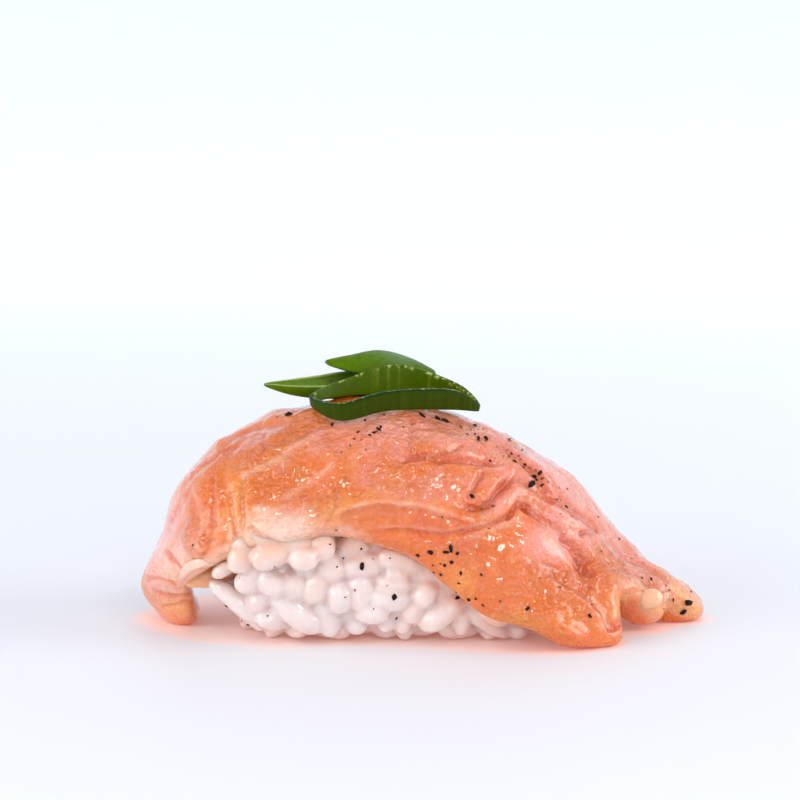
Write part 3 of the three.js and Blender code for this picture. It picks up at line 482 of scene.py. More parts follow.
def noise(points, size, seed=0):
    """Smooth noise from -1 to 1, with blobs about size across. size may be one per axis."""
    at = points / np.asarray(size, float) + 31.7 * (seed + 1)
    cell = np.floor(at).astype(np.int64)
    part = at - cell
    part = part * part * (3 - 2 * part)
    total = np.zeros(at.shape[:-1])
    for corner in itertools.product((0, 1), repeat=at.shape[-1]):
        mixed = (cell + corner) @ np.array([73856093, 19349663, 83492791])[: at.shape[-1]]
        mixed = ((mixed ^ (mixed >> 13)) * 1274126177) & 0x7FFFFFFF
        value = ((mixed ^ (mixed >> 16)) & 0xFFFF) / 32767.5 - 1
        total += value * np.prod(np.where(np.array(corner) == 1, part, 1 - part), axis=-1)
    return total


def linear(colour):
    """A colour of 0 to 255 as the shaders' linear one."""
    share = np.array(colour) / 255
    return np.where(share <= 0.04045, share / 12.92, ((share + 0.055) / 1.055) ** 2.4)


def toward(tint, colour, share):
    """Linear tints moved toward a linear colour, by one share for each point."""
    return tint + (colour - tint) * share[:, None]


# ---------------------------------------------------------------- seen places


def seen_from_front(points, side=1):
    """Where the eye sees points, or with a side of -1 the eye behind the nigiri."""
    from_eye = points * [side, side, 1] - EYE_PLACE
    scale = EYE_DISTANCE / (from_eye @ FORWARD)
    return np.stack([from_eye[..., 0] * scale, (from_eye @ UPWARD) * scale], -1) - ORIGIN_SEEN


def eye_ray(seen, side=1):
    """The eye's place and the direction in which it sees a seen place."""
    right, up = np.add(seen, ORIGIN_SEEN)
    direction = EYE_DISTANCE * FORWARD + up * UPWARD + [right, 0, 0]
    turn = np.array([side, side, 1])
    return EYE_PLACE * turn, unit(direction * turn)


ORIGIN_SEEN = np.zeros(2)
ORIGIN_SEEN = seen_from_front(np.zeros(3))


def seen_at(seen, y):
    """The point at a seen place that lies as far back as y."""
    start, direction = eye_ray(seen)
    return start + direction * ((y - start[1]) / direction[1])


def line_distance(seen, line, reach):
    """For the seen places within reach of a smoothed line: which they are, how far
    they are from it, on its left if above 0, and the share of the line there."""
    path = rail(line)(np.linspace(0, 1, 5 * len(line)))
    near = np.all((seen > path.min(0) - reach) & (seen < path.max(0) + reach), axis=-1)
    at = seen[near]
    best = np.full(len(at), np.inf)
    left = np.ones(len(at))
    share = np.zeros(len(at))
    for k, (a, b) in enumerate(zip(path, path[1:])):
        span = b - a
        held = np.clip(((at - a) @ span) / (span @ span), 0, 1)
        away = at - a - held[:, None] * span
        distance = np.hypot(away[:, 0], away[:, 1])
        closer = distance < best
        best[closer] = distance[closer]
        left[closer] = np.sign(span[0] * away[closer, 1] - span[1] * away[closer, 0])
        share[closer] = (k + held[closer]) / (len(path) - 1)
    return near, best * left, share


def taper(share):
    """1 along a line and 0 at its ends."""
    return smoothstep(np.minimum(share, 1 - share), 0, 0.14)


def patch(seen, x, y, half_x, half_y, degrees, strength):
    """A soft patch's share at seen places."""
    turn = math.radians(degrees)
    away = seen - (x, y)
    along = (away[:, 0] * math.cos(turn) + away[:, 1] * math.sin(turn)) / half_x
    across = (away[:, 1] * math.cos(turn) - away[:, 0] * math.sin(turn)) / half_y
    return strength * np.exp(-((along**2 + across**2) ** 1.3))


# ---------------------------------------------------------------- the salmon


def bulge(lobe, t):
    """A lobe's share across the slab."""
    return hump((t - lobe["t"]) / lobe["half"])


def face_inside(s, t):
    """The upper face between its ends, rounded from the ridge down to each edge."""
    ridge = rail(RIDGE)(s)
    edge = np.where((t < 0)[..., None], rail(FRONT_EDGE)(s), rail(BACK_EDGE)(s))
    slant = END_SLANT * smoothstep(s, 0.45, 1)
    corner = np.stack([ridge[..., 0] + slant * (edge - ridge)[..., 1], edge[..., 1], ridge[..., 2]], -1)
    end = smoothstep(s, LOBES_START, 1)
    last_turn = (math.pi / 2) * (1 - 0.35 * smoothstep(-s, -0.16, 0) - 0.5 * end)
    turn = np.abs(t) * last_turn
    point = ridge + (corner - ridge) * (np.sin(turn) / np.sin(last_turn))[..., None]
    point = point + (edge - corner) * ((1 - np.cos(turn)) / (1 - np.cos(last_turn)))[..., None]
    for lobe in LOBES:
        point[..., 2] += lobe["lift"] * end * bulge(lobe, t)
    return point


def upper_face(s, t):
    """Points of the slab's smooth upper face: s from the left leg to the right end,
    t from the front edge, -1, to the back edge, 1. Past its ends it runs straight on."""
    step = 0.01
    held = np.clip(s, 0, 1)
    point = face_inside(held, t)
    inner = face_inside(np.clip(held, step, 1 - step), t)
    return point + (point - inner) * (np.abs(s - held) / step)[..., None]


def upper_normal(s, t):
    step = 0.004
    along = upper_face(s + step, t) - upper_face(s - step, t)
    across = upper_face(s, t + step) - upper_face(s, t - step)
    return unit(np.cross(along, across))


def slab_thickness(s, t):
    end = smoothstep(s, 0.68, 1)
    full = SLAB_THICKNESS + (SLAB_END_THICKNESS - SLAB_THICKNESS) * end
    full = SLAB_LEG_THICKNESS + (full - SLAB_LEG_THICKNESS) * smoothstep(s, 0, 0.34)
    for lobe in LOBES:
        full = full + lobe["swell"] * end * bulge(lobe, t)
    return full * (1 - 0.3 * np.abs(t) ** 4)


def rim_share(distance):
    """The share of the thickness at a distance from the rim, which is round."""
    inside = np.clip(distance / SLAB_RIM, 0, 1)
    return np.sqrt(1 - (1 - inside) ** 2)


def rest_on_ground(height):
    """Heights that come softly to rest where they would be below the ground."""
    softness, high, sink = 0.5, 20, 0.15
    settled = softness * np.log1p(np.exp(np.minimum(height, high) / softness))
    return np.maximum(np.where(height > high, height, settled) - sink, 0)


def line_marks(seen, height, masks, marks, cracks, lips, bands):
    """Adds the marks of one side of the slab to its height and its colour masks."""
    for width, rise, line in marks:
        near, away, _ = line_distance(seen, line, 3 * width)
        height[near] += 0.4 * rise * bell(away / (0.75 * width))
    for width, depth, line in cracks:
        near, away, share = line_distance(seen, line, 4 * width)
        held = taper(share)
        height[near] -= depth * held * np.exp(-np.abs(away / width) ** 1.6)
        # Painted shade down the crack, darker for a deeper crack.
        masks["crack"][near] += min(depth / 0.45, 1.4) * held * bell(away / (1.3 * width))
    for width, rise, line in lips:
        near, away, share = line_distance(seen, line, 3 * width)
        held = taper(share)
        height[near] += rise * held * np.tanh(away / 0.2) * bell(away / width)
        # Painted shadow on the face just under the flake's edge, and a pale line along the edge.
        masks["crack"][near] += 1.6 * rise * held * bell((away + 0.35) / 0.4)
        masks["band"][near] += 0.9 * rise * held * bell((away - 0.3) / 0.3)
    for width, strength, line in bands:
        near, away, share = line_distance(seen, line, 3 * width)
        held = strength * taper(share)
        height[near] += 0.04 * held * bell(away / width)
        masks["band"][near] += held * bell(away / width)


def side_marks(surface, back):
    """The relief, the masks and the painted patches of both sides of the slab, each
    side's faded out where the other takes over."""
    sides = {
        1: (FRONT_MARKS, FRONT_CRACKS, FRONT_LIPS, FRONT_BANDS, FRONT_FILM, FRONT_PUCKERS, FRONT_PATCHES),
        -1: (BACK_MARKS, [], [], BACK_BANDS, BACK_FILM, [], BACK_PATCHES),
    }
    wander = np.stack([noise(surface, 2.5, k) for k in (1, 2)], -1)
    wander = 0.5 * wander + 0.3 * np.stack([noise(surface, 0.9, k) for k in (3, 4)], -1)
    count = len(surface)
    height = 0
    masks = dict.fromkeys(("crack", "band", "film", "pucker"), 0)
    paints = []
    for side, (*marked, films, puckers, patches) in sides.items():
        share, puckered = (1 - back, 0.25) if side > 0 else (back, 0.55)
        seen = seen_from_front(surface, side)
        own_height = np.zeros(count)
        own = {name: np.zeros(count) for name in masks}
        line_marks(seen + 0.3 * wander, own_height, own, *marked)
        own["film"] += sum(patch(seen + 2.0 * wander, *spot) for spot in films)
        own["pucker"] += sum((patch(seen + 1.5 * wander, *spot) for spot in puckers), puckered)
        height = height + share * own_height
        paints += [(colour, share * patch(seen + 1.6 * wander, *spot)) for colour, *spot in patches]
        for name in masks:
            masks[name] = masks[name] + share * own[name]
    return height, masks, paints


def salmon_grid():
    """The slab's upper and lower points, and the upper face's colour and masks. Its
    points are closer together near the rims."""
    eased = lambda share: share - 0.07 * np.sin(2 * math.pi * share)
    along, across = (eased(np.linspace(0, 1, SLAB_STEPS[key] + 1)) for key in ("along", "across"))
    s, t = (grid.ravel() for grid in np.meshgrid(along, 2 * across - 1, indexing="ij"))
    rim = rim_share(np.minimum(s, 1 - s) * SLAB_SPREAD["length"])
    rim = rim * rim_share((1 - np.abs(t)) * SLAB_SPREAD["width"] / 2)
    thickness = slab_thickness(s, t)
    trim = CORNER_TRIM * np.abs(t) ** 6
    for lobe in LOBES:
        trim += lobe["recess"] * bulge(lobe, t)
    place = s - trim * smoothstep(s, LOBES_START, 1)
    normal = upper_normal(place, t)
    middle = upper_face(place, t) - normal * (thickness / 2)[:, None]
    surface = middle + normal * (thickness / 2 * rim)[:, None]

    marked, masks, paints = side_marks(surface, smoothstep(t, BACK_FROM, BACK_FULL))
    x, y, z = surface.T
    height = 0.22 * np.sin(0.55 * x + 1.1 * t) * np.cos(0.4 * z + 0.5 * y) + marked

    # Fibres run along the slab, and the skin between them is puckered.
    laid = np.stack([s * SLAB_SPREAD["length"], t * SLAB_SPREAD["width"] / 2, np.zeros(len(s))], -1)
    laid[:, 1] += 1.2 * noise(surface, 6, 8)
    fibre = noise(laid, (4.0, 0.9, 1), 5) + 0.7 * noise(laid, (2.5, 0.5, 1), 6)
    ruffle = 1 - 2 * np.abs(noise(surface, 1.9, 9)) + 0.7 * (1 - 2 * np.abs(noise(surface, 0.95, 10)))
    pucker = np.clip(masks["pucker"], 0, 1)
    wet = np.clip(0.1 + 1.1 * pucker + 0.45 * noise(surface, 5.0, 20), 0, 1)
    waves = 0.18 * noise(surface, 4.5, 11) + 0.12 * noise(surface, 2.4, 19)
    height += 0.05 * fibre + (0.025 + 0.15 * pucker) * ruffle + waves

    # Low down, the pink film gives way to the raw flesh's amber, painted there as the glow of light through
    # the slab's low edges.
    low = smoothstep(-z, -6, -0.5)
    film = 0.34 + masks["film"] + 0.26 * noise(surface, 3.2, 12) + 0.22 * noise(surface, 1.3, 13)
    film = film + 0.14 * noise(surface, 0.55, 14) + 0.12 * fibre - 0.5 * low - 0.10 * ruffle
    film = smoothstep(film, 0.0, 1.0)
    tint = toward(linear(AMBER), linear(FILM), film)
    paints += [
        (PALE, np.clip(masks["band"], 0, 1) * (0.4 + 0.25 * noise(surface, 1.5, 18))),
        # Deep orange along the cracks and under the lips' edges: painted shade, over the flesh's deeper
        # colour there.
        (DEEP, 0.85 * np.clip(masks["crack"], 0, 1)),
        (GOLD, 0.25 * np.clip(noise(surface, (1.2, 1.2, 4.0), 15), 0, 1)),
        (BLUSH, 0.35 * np.clip(noise(surface, 2.8, 16), 0, 1) * film),
        (DEEP, 0.18 * np.clip(noise(surface, 2.2, 17), 0, 1)),
    ]
    for colour, share in paints:
        tint = toward(tint, linear(colour), np.clip(share, 0, 1))

    upper = middle + normal * ((thickness / 2 + height) * rim)[:, None]
    lower = middle - normal * (thickness / 2 * rim)[:, None]
    for points in (upper, lower):
        points[:, 2] = rest_on_ground(points[:, 2])
    return upper, lower, tint, {"film": film, "wet": wet}


def grid_faces(count, across, closed=False, wound=False):
    """Faces of a grid of points given row by row. Its last row joins its first when
    it is closed, and each row's end joins its start when it is wound."""
    grid = np.arange(count * across).reshape(count, across)
    if closed:
        grid = np.vstack([grid, grid[:1]])
    if wound:
        grid = np.hstack([grid, grid[:, :1]])
    corners = [grid[:-1, :-1], grid[1:, :-1], grid[1:, 1:], grid[:-1, 1:]]
    return np.stack(corners, -1).reshape(-1, 4).tolist()


def flipped(faces):
    """Faces turned over, each from the same first corner."""
    return [face[:1] + face[:0:-1] for face in faces]


def sheet_faces(along, across, step):
    """Faces of two grids of points joined along their rims, the upper one's points
    first. The lower grid keeps only every step-th point, apart from the rim's."""
    row = across + 1
    count = (along + 1) * row
    faces = grid_faces(along + 1, row)
    is_rim = lambda i, j: i in (0, along) or j in (0, across)
    below = lambda i, j: i * row + j + (0 if is_rim(i, j) else count)
    for i in range(0, along, step):
        for j in range(0, across, step):
            corners = [(i, j), (i, j + step), (i + step, j + step), (i + step, j)]
            outline = []
            for (i0, j0), (i1, j1) in zip(corners, corners[1:] + corners[:1]):
                outline.append(below(i0, j0))
                if step == 2 and is_rim((i0 + i1) / 2, (j0 + j1) / 2):
                    outline.append(below((i0 + i1) // 2, (j0 + j1) // 2))
            faces.append(outline)
    return faces


# ------------------------------------------------------------------ the rice


def heap_level(points):
    """1 on the heap's skin, less inside it, in proportion to the distance from its middle."""
    away = np.abs(points - HEAP_CENTRE)
    plan = HEAP_SQUARENESS["plan"]
    tall = HEAP_SQUARENESS["height"]
    x, y = away[..., 0] / HEAP_HALF["x"], away[..., 1] / HEAP_HALF["y"]
    level = (x**plan + y**plan) ** (1 / plan)
    half = np.where(points[..., 2] < HEAP_CENTRE[2], HEAP_HALF["bottom"], HEAP_HALF["top"])
    return (level**tall + (away[..., 2] / half) ** tall) ** (1 / tall)


def at_depth(points, depth):
    """Points moved along their rays from the heap's middle to a depth under its skin."""
    away = points - HEAP_CENTRE
    skin = away / heap_level(points)[..., None]
    length = np.linalg.norm(skin, axis=-1, keepdims=True)
    return HEAP_CENTRE + skin * (1 - np.reshape(depth, (-1, 1)) / length)


def seen_on_heap(seen):
    """The point of the heap's skin that the eye sees at a seen place, or near it."""
    start, direction = eye_ray(seen)
    steps = start + direction * np.arange(240, 330, 0.1)[:, None]
    level = heap_level(steps)
    return steps[np.argmax(level < 1)] if level.min() < 1 else steps[np.argmin(level)]


def seen_axis(degrees):
    """A direction turned up from the right, as the eye sees it."""
    turn = math.radians(degrees)
    return math.cos(turn) * np.array([1.0, 0, 0]) + math.sin(turn) * UPWARD


def near_front_grain(place, grains):
    """Whether a grain at a place would cover one of the front grains."""
    for centre, axis, length, width, *_ in grains:
        away = place - centre
        along = np.clip(away @ axis, -(length - width) / 2, (length - width) / 2)
        if np.linalg.norm(away - along * axis) < 0.5 * width + FRONT_GRAIN_ROOM:
            return True
    return False


def first_grains(rng):
    """Grains before they settle: centres, axes, lengths, widths, depths, and how
    freely each moves. Those that show at the front come first and hardly move."""
    grains = []
    own = FRONT_GRAIN
    for x, y, degrees, length, width in FRONT_GRAINS:
        skin = seen_on_heap((x, y))
        outward = unit(skin - HEAP_CENTRE)
        outward = unit(outward * (1, 2.5, 1))
        axis = seen_axis(degrees)
        axis = unit(axis - own["flat"] * outward * (axis @ outward))
        place = skin - outward * width * own["sink"]
        size = (own["longer"] * length, own["wider"] * width)
        grains.append((place, axis, *size, width * own["depth"], own["free"]))
    for layer in GRAIN_LAYERS:
        for _ in range(layer["count"]):
            around, up = rng.uniform(0, 2 * math.pi), rng.uniform(-0.7, 0.75)
            away = np.array([1.9 * math.cos(around), math.sin(around), up])
            place = at_depth((HEAP_CENTRE + away)[None], layer["depth"])[0]
            outward = unit(place - HEAP_CENTRE)
            axis = rng.normal(size=3)
            axis = unit(axis - LOOSE_GRAIN_FLAT * outward * (axis @ outward))
            length, width = rng.uniform(*GRAIN_LENGTHS), rng.uniform(*GRAIN_WIDTHS)
            if layer["depth"] < 2 and near_front_grain(place, grains[: len(FRONT_GRAINS)]):
                continue
            grains.append((place, axis, length, width, layer["depth"], 1.0))
    return [np.array(column, float) for column in zip(*grains)]


def settle(grains, slab_tree):
    """Pushes grains apart, and out of the slab and the ground, and holds them at
    their depth. Each is three balls in a row."""
    centre, axis, length, width, depth, free = grains
    count = len(centre)
    ball = width / 2
    reach = np.maximum(length / 2 - ball, 0.01)
    owner = np.repeat(np.arange(count), 3)
    shift = np.tile([-1.0, 0.0, 1.0], count)
    other = owner[:, None] != owner[None, :]
    for _ in range(SETTLE["rounds"]):
        balls = centre[owner] + axis[owner] * (shift * reach[owner])[:, None]
        between = balls[:, None] - balls[None, :]
        distance = np.linalg.norm(between, axis=-1) + 1e-6
        apart = SETTLE["apart"] * (ball[owner][:, None] + ball[owner][None, :])
        overlap = np.clip(np.where(other, apart - distance, 0), 0, 1)
        push = (overlap[..., None] * between / distance[..., None]).sum(1) * SETTLE_MOVES["push"]
        for k, place in enumerate(balls):
            hit, normal, _, away = slab_tree.find_nearest(Vector(place))
            side = (Vector(place) - hit).dot(normal)
            want = SETTLE["off_slab"] * ball[owner[k]]
            if side < want and away < SLAB_NEAR:
                push[k] += SETTLE_MOVES["slab_push"] * (want - side) * np.array(normal)
        low = SETTLE["off_ground"] * ball[owner] - balls[:, 2]
        push[:, 2] += np.clip(low, 0, 2)
        pull = SETTLE_MOVES["pull"] * (at_depth(centre, depth) - centre)
        moved = push.reshape(count, 3, 3)
        most = SETTLE_MOVES["most"]
        centre = centre + (np.clip(moved.mean(1), -most, most) + pull) * free[:, None]
        turn = (moved[:, 2] - moved[:, 0]) / (2 * reach + 1)[:, None]
        axis = unit(axis + SETTLE_MOVES["turn"] * turn * free[:, None])
    return centre, axis, length, width


def grain_points(length, width, rng):
    """One cooked grain along X: plump, a little bent and flat, with a nick at one
    end where its germ was."""
    share = -np.cos(np.linspace(0.06, 1, GRAIN_STEPS["along"]) * math.pi * 0.97)
    share, turn = np.meshgrid(share, full_turn(GRAIN_STEPS["around"]), indexing="ij")
    radius = (1 - np.abs(share) ** 2.5) ** 0.5 * (1 + 0.07 * rng.uniform(-1, 1) * share)
    flat = rng.uniform(0.82, 0.95)
    y, z = radius * np.cos(turn), flat * radius * np.sin(turn)
    z = z - 0.22 * rng.uniform(0.2, 1) * (1 - share**2)
    off_end, off_top = (share - 0.86) / 0.16, (turn - math.pi / 2) / 0.7
    nick = 0.35 * rng.uniform(0.3, 1) * np.exp(-(off_end**2) - off_top**2)
    points = np.stack([share * length / 2, y * width / 2, (z - nick) * width / 2], -1)
    lump = noise(points.reshape(-1, 3) + rng.uniform(0, 99, 3), 1.6, 21)
    points = points.reshape(-1, 3) * (1 + 0.045 * lump)[:, None]
    ends = np.array([[-length / 2 * 0.995, 0, 0], [length / 2 * 0.99, 0, 0]])
    return np.vstack([points, ends])


def grain_faces():
    along, around = GRAIN_STEPS["along"], GRAIN_STEPS["around"]
    count, last = along * around, (along - 1) * around
    faces = grid_faces(along, around, wound=True)
    for j in range(around):
        k = (j + 1) % around
        faces += [[count, j, k], [count + 1, last + k, last + j]]
    return [face[::-1] for face in faces]


def turned_to(axis, rng=None, normal=None):
    """A rotation with its X along axis, rolled at random or with its Z near a normal."""
    helper = np.array(normal) if normal is not None else rng.normal(size=3)
    side = unit(np.cross(helper, axis))
    return np.stack([axis, side, np.cross(axis, side)], -1)


# ----------------------------------------------------------------- the onion


def ring_points():
    """The cut ring's wall: for each place round it, a rounded section from its lower
    to its upper rim. Points, and the rise, the side and the veins at each."""
    steps, section = RING_STEPS["around"], RING_STEPS["section"]
    share = np.linspace(0, 1, steps, endpoint=False)
    low = rail(RING_LOWER, closed=True)(share)
    wall = rail(RING_UPPER, closed=True)(share) - low
    forward = unit(np.roll(low, -1, 0) - np.roll(low, 1, 0))
    outward = unit(np.cross(forward, wall))
    turn = full_turn(section)
    squared = lambda value: np.sign(value) * np.abs(value) ** 0.35
    out, rise = squared(np.cos(turn)), 0.5 + 0.5 * squared(np.sin(turn))
    points = low[:, None] + wall[:, None] * rise[None, :, None]
    points = points + outward[:, None] * (out * ONION_WALL / 2)[None, :, None]
    turned = np.repeat(share, section)
    rise, out = np.tile(rise, steps), np.tile(out, steps)
    veins = noise(np.stack([turned * 62, rise * 0.6, 0 * turned], -1), (0.5, 1, 1), 30)
    relief = 0.02 * veins * np.sign(out)
    return points.reshape(-1, 3) + np.repeat(outward, section, 0) * relief[:, None], rise, out, veins


def leaf_points(leaf):
    """A pointed leaf curled about its spine, as an upper and a lower grid, with the
    place along and across of each point."""
    spine = rail(leaf["spine"])
    along, across = (LEAF_STEPS[key] + 1 for key in ("along", "across"))
    share, place = np.meshgrid(np.linspace(0, 1, along), np.linspace(-1, 1, across), indexing="ij")
    share, place = share.ravel(), place.ravel()
    width = leaf["half_width"] * (0.04 + 0.96 * np.sin((math.pi / 2) * share ** leaf["point"]))
    forward = unit(spine(share + 1e-3) - spine(share - 1e-3))
    up = np.tile([0, 0, float(leaf["opening"])], (len(share), 1))
    side = unit(np.cross(up, forward))
    up = unit(np.cross(forward, side))
    roll = leaf["roll"]
    up, side = up * math.cos(roll) - side * math.sin(roll), side * math.cos(roll) + up * math.sin(roll)
    angle = leaf["curl"] * place
    reach = width * np.sin(angle) / leaf["curl"]
    rise = width * (1 - np.cos(angle)) / leaf["curl"]
    middle = spine(share) + side * reach[:, None] + up * rise[:, None]
    inward = up * np.cos(angle)[:, None] - side * np.sin(angle)[:, None]
    edge = (1 - np.abs(place)) * leaf["half_width"] * 1.6
    rim = np.minimum.reduce([share * 14, (1 - share) * 14, edge])
    half = ONION_WALL / 2 * np.minimum(1, width / leaf["half_width"] + 0.3)
    half = half * np.sqrt(1 - (1 - np.clip(rim / 0.6, 0, 1)) ** 2)
    veins = noise(np.stack([place * leaf["half_width"], share * 2, 0 * share], -1), (0.22, 1.5, 1), 31)
    half = (half * (1 + 0.08 * veins))[:, None]
    return middle + inward * half, middle - inward * half, share, place, veins


# ------------------------------------------------------------------ materials


class Look:
    """A material round its Principled shader, whose constants are set on its own
    sockets. A node takes values or other nodes' sockets, and gives back a socket."""

    def __init__(self, name, roughness, radius=None, **values):
        self.material = bpy.data.materials.new(name)
        self.material.use_nodes = True
        self.tree = self.material.node_tree
        values = {key.replace("_", " "): value for key, value in values.items()}
        if radius:
            values["Subsurface Radius"] = radius
        self.set({"Roughness": roughness, **values})
        self.place = self.node("TexCoord", "Object")

    def fill(self, socket, value):
        if isinstance(value, bpy.types.NodeSocket):
            self.tree.links.new(value, socket)
        else:
            socket.default_value = (*value, 1) if socket.type == "RGBA" else value

    def set(self, values):
        for key, value in values.items():
            self.fill(self.tree.nodes["Principled BSDF"].inputs[key], value)

    def node(self, kind, output, inputs=(), **settings):
        made = self.tree.nodes.new("ShaderNode" + kind)
        for key, value in settings.items():
            setattr(made, key, value)
        for key, value in dict(inputs).items():
            self.fill(made.inputs[key], value)
        return made.outputs[output]

    def noise(self, scale, detail=3.0):
        """Noise over the piece's own coordinates, scale in 1/mm."""
        inputs = {"Vector": self.place, "Scale": scale / MM, "Detail": detail}
        return self.node("TexNoise", "Fac", inputs)

    def ramp(self, value, low, high, to_low, to_high):
        inputs = {"Value": value, "From Min": low, "From Max": high, "To Min": to_low, "To Max": to_high}
        return self.node("MapRange", "Result", inputs)

    def mix(self, share, first, second):
        """A colour mixed from two."""
        return self.node("Mix", 2, {0: share, 6: first, 7: second}, data_type="RGBA")

    def math(self, operation, *inputs):
        return self.node("Math", 0, enumerate(inputs), operation=operation)

    def plus(self, a, b, weight):
        """a with a weighted b."""
        return self.math("MULTIPLY_ADD", b, weight, a)

    def attribute(self, name, output="Fac"):
        return self.node("Attribute", output, attribute_name=name)

    def bump(self, height, distance, strength=1.0):
        inputs = {"Height": height, "Distance": distance * MM, "Strength": strength}
        return self.node("Bump", "Normal", inputs)


def salmon_material():
    look = Look(
        "salmon_flesh", 0.3, (1.0, 0.42, 0.2), Subsurface_Weight=0.6, Subsurface_Scale=1.6 * MM, IOR=1.5,
        Coat_Weight=0.8, Coat_Roughness=0.05,
    )
    fine, grain = look.noise(2.2, 1.0), look.noise(1.3, 1.0)
    wet = look.attribute("wet")
    colour = look.mix(look.ramp(fine, 0.52, 0.72, 0, 0.12), look.attribute("tint", "Color"), linear(PALE))
    relief = look.math("MULTIPLY", look.plus(grain, fine, 0.6), look.ramp(wet, 0, 1, 0.08, 0.65))
    look.set({
        "Base Color": look.mix(look.ramp(grain, 0.54, 0.7, 0, 0.16), colour, linear(GOLD)),
        "Roughness": look.plus(look.ramp(wet, 0, 1, 0.3, 0.1), look.attribute("film"), 0.05),
        "Normal": look.bump(relief, 1.15),
    })
    return look.material


def rice_material(name, colour, inside):
    look = Look(
        name, 0.3, (1.0, 0.85, 0.75), Subsurface_Weight=inside, Subsurface_Scale=1.8 * MM, IOR=1.36,
        Coat_Weight=1.0, Coat_Roughness=0.05, Coat_IOR=1.6,
    )
    cloud, fine = look.noise(0.45, 1.0), look.noise(1.6, 0.5)
    milky = look.ramp(cloud, 0.4, 0.7, 0, 0.3)
    look.set({
        "Base Color": look.mix(milky, look.attribute("tint", "Color"), linear(colour)),
        "Roughness": look.ramp(fine, 0.35, 0.7, 0.25, 0.45),
        "Normal": look.bump(look.plus(cloud, fine, 0.5), 0.18),
    })
    return look.material


def onion_material():
    look = Look(
        "onion_leaf", 0.3, (0.5, 1.0, 0.3), Subsurface_Weight=0.1, Subsurface_Scale=0.8 * MM,
        Specular_IOR_Level=0.04, Coat_Weight=0.03, Coat_Roughness=0.08,
    )
    fine = look.noise(1.6)
    veined = look.ramp(look.attribute("vein"), -0.4, 0.8, 0, 0.1)
    colour = look.mix(veined, look.attribute("tint", "Color"), ONION_VEIN)
    look.set({
        "Base Color": look.mix(look.ramp(fine, 0.45, 0.75, 0, 0.3), colour, ONION_SHADE),
        "Roughness": look.ramp(fine, 0.3, 0.7, 0.22, 0.4),
        "Normal": look.bump(fine, 0.08, 0.6),
    })
    return look.material


def pepper_material(name, dark, light):
    look = Look(name, 0.6, Specular_IOR_Level=0.15)
    fine = look.noise(3.0)
    colour = look.mix(look.ramp(fine, 0.4, 0.7, 0, 1), linear(dark), linear(light))
    look.set({"Base Color": colour, "Normal": look.bump(fine, 0.1)})
    return look.material


def floor_material():
    """Near white and pale blue further off, with the salmon's light on it."""
    look = Look("floor_paper", 0.6)
    away = look.node("VectorMath", "Value", {0: look.place}, operation="LENGTH")
    paper = look.mix(look.ramp(away, 0.05, 0.7, 0, 1), PAPER_NEAR, PAPER_FAR)
    glow = look.attribute("glow")
    lit = look.ramp(glow, 0, 0.2, 0, 1)
    look.set({
        "Base Color": look.mix(glow, paper, PAPER_GLOW),
        "Emission Color": look.mix(lit, LIGHT_PLAIN, LIGHT_GLOW),
        "Emission Strength": look.plus(look.ramp(away, 0.05, 0.5, 0, 0.36), glow, 0.4),
    })
    return look.material


# --------------------------------------------------------------------- pieces


def new_object(name, data):
    obj = bpy.data.objects.new(name, data)
    bpy.context.scene.collection.objects.link(obj)
    return obj


def new_mesh(name, points, faces, material=None, attributes=None):
    """A smooth mesh from points in metres. An attribute has a number or a colour for
    each point."""
    mesh = bpy.data.meshes.new(name)
    mesh.from_pydata(points.tolist(), [], faces)
    mesh.polygons.foreach_set("use_smooth", [True] * len(mesh.polygons))
    for key, values in (attributes or {}).items():
        if values.ndim == 2:
            made = mesh.attributes.new(key, "FLOAT_COLOR", "POINT")
            made.data.foreach_set("color", np.hstack([values, np.ones((len(values), 1))]).ravel())
        else:
            made = mesh.attributes.new(key, "FLOAT", "POINT")
            made.data.foreach_set("value", values)
    if material:
        mesh.materials.append(material)
    return mesh


def add_piece(name, points, faces, material, replaces, attributes=None):
    """A piece made of points in millimetres, riding on the frame."""
    mesh = new_mesh(name, points * MM, faces, material, attributes)
    mesh.validate()
    obj = new_object(name, mesh)
    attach(obj, "root")
    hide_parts(*replaces)
    return obj


def tree_of(points, faces):
    return BVHTree.FromPolygons(points.tolist(), faces)


def hit_on(trees, seen, side=1):
    """The nearest of some trees' surfaces that the eye sees at a seen place."""
    start, direction = eye_ray(seen, side)
    hits = [tree.ray_cast(Vector(start), Vector(direction)) for tree in trees]
    hits = [hit for hit in hits if hit[0] is not None]
    return min(hits, key=lambda hit: hit[3]) if hits else None


def add_salmon(material):
    upper, lower, tint, masks = salmon_grid()
    faces = sheet_faces(SLAB_STEPS["along"], SLAB_STEPS["across"], 2)
    points = np.vstack([upper, lower])
    used = np.zeros(len(points), bool)
    used[list(itertools.chain.from_iterable(faces))] = True
    index = (np.cumsum(used) - 1).tolist()
    faces = [[index[k] for k in face] for face in faces]
    points = points[used]
    attributes = {key: np.tile(values, 2)[used] for key, values in masks.items()}
    under = np.tile(linear(AMBER), (len(lower), 1))
    attributes["tint"] = np.vstack([tint, under])[used]
    add_piece("salmon_slab", points, faces, material, ["salmon"], attributes)
    return tree_of(points, faces), points


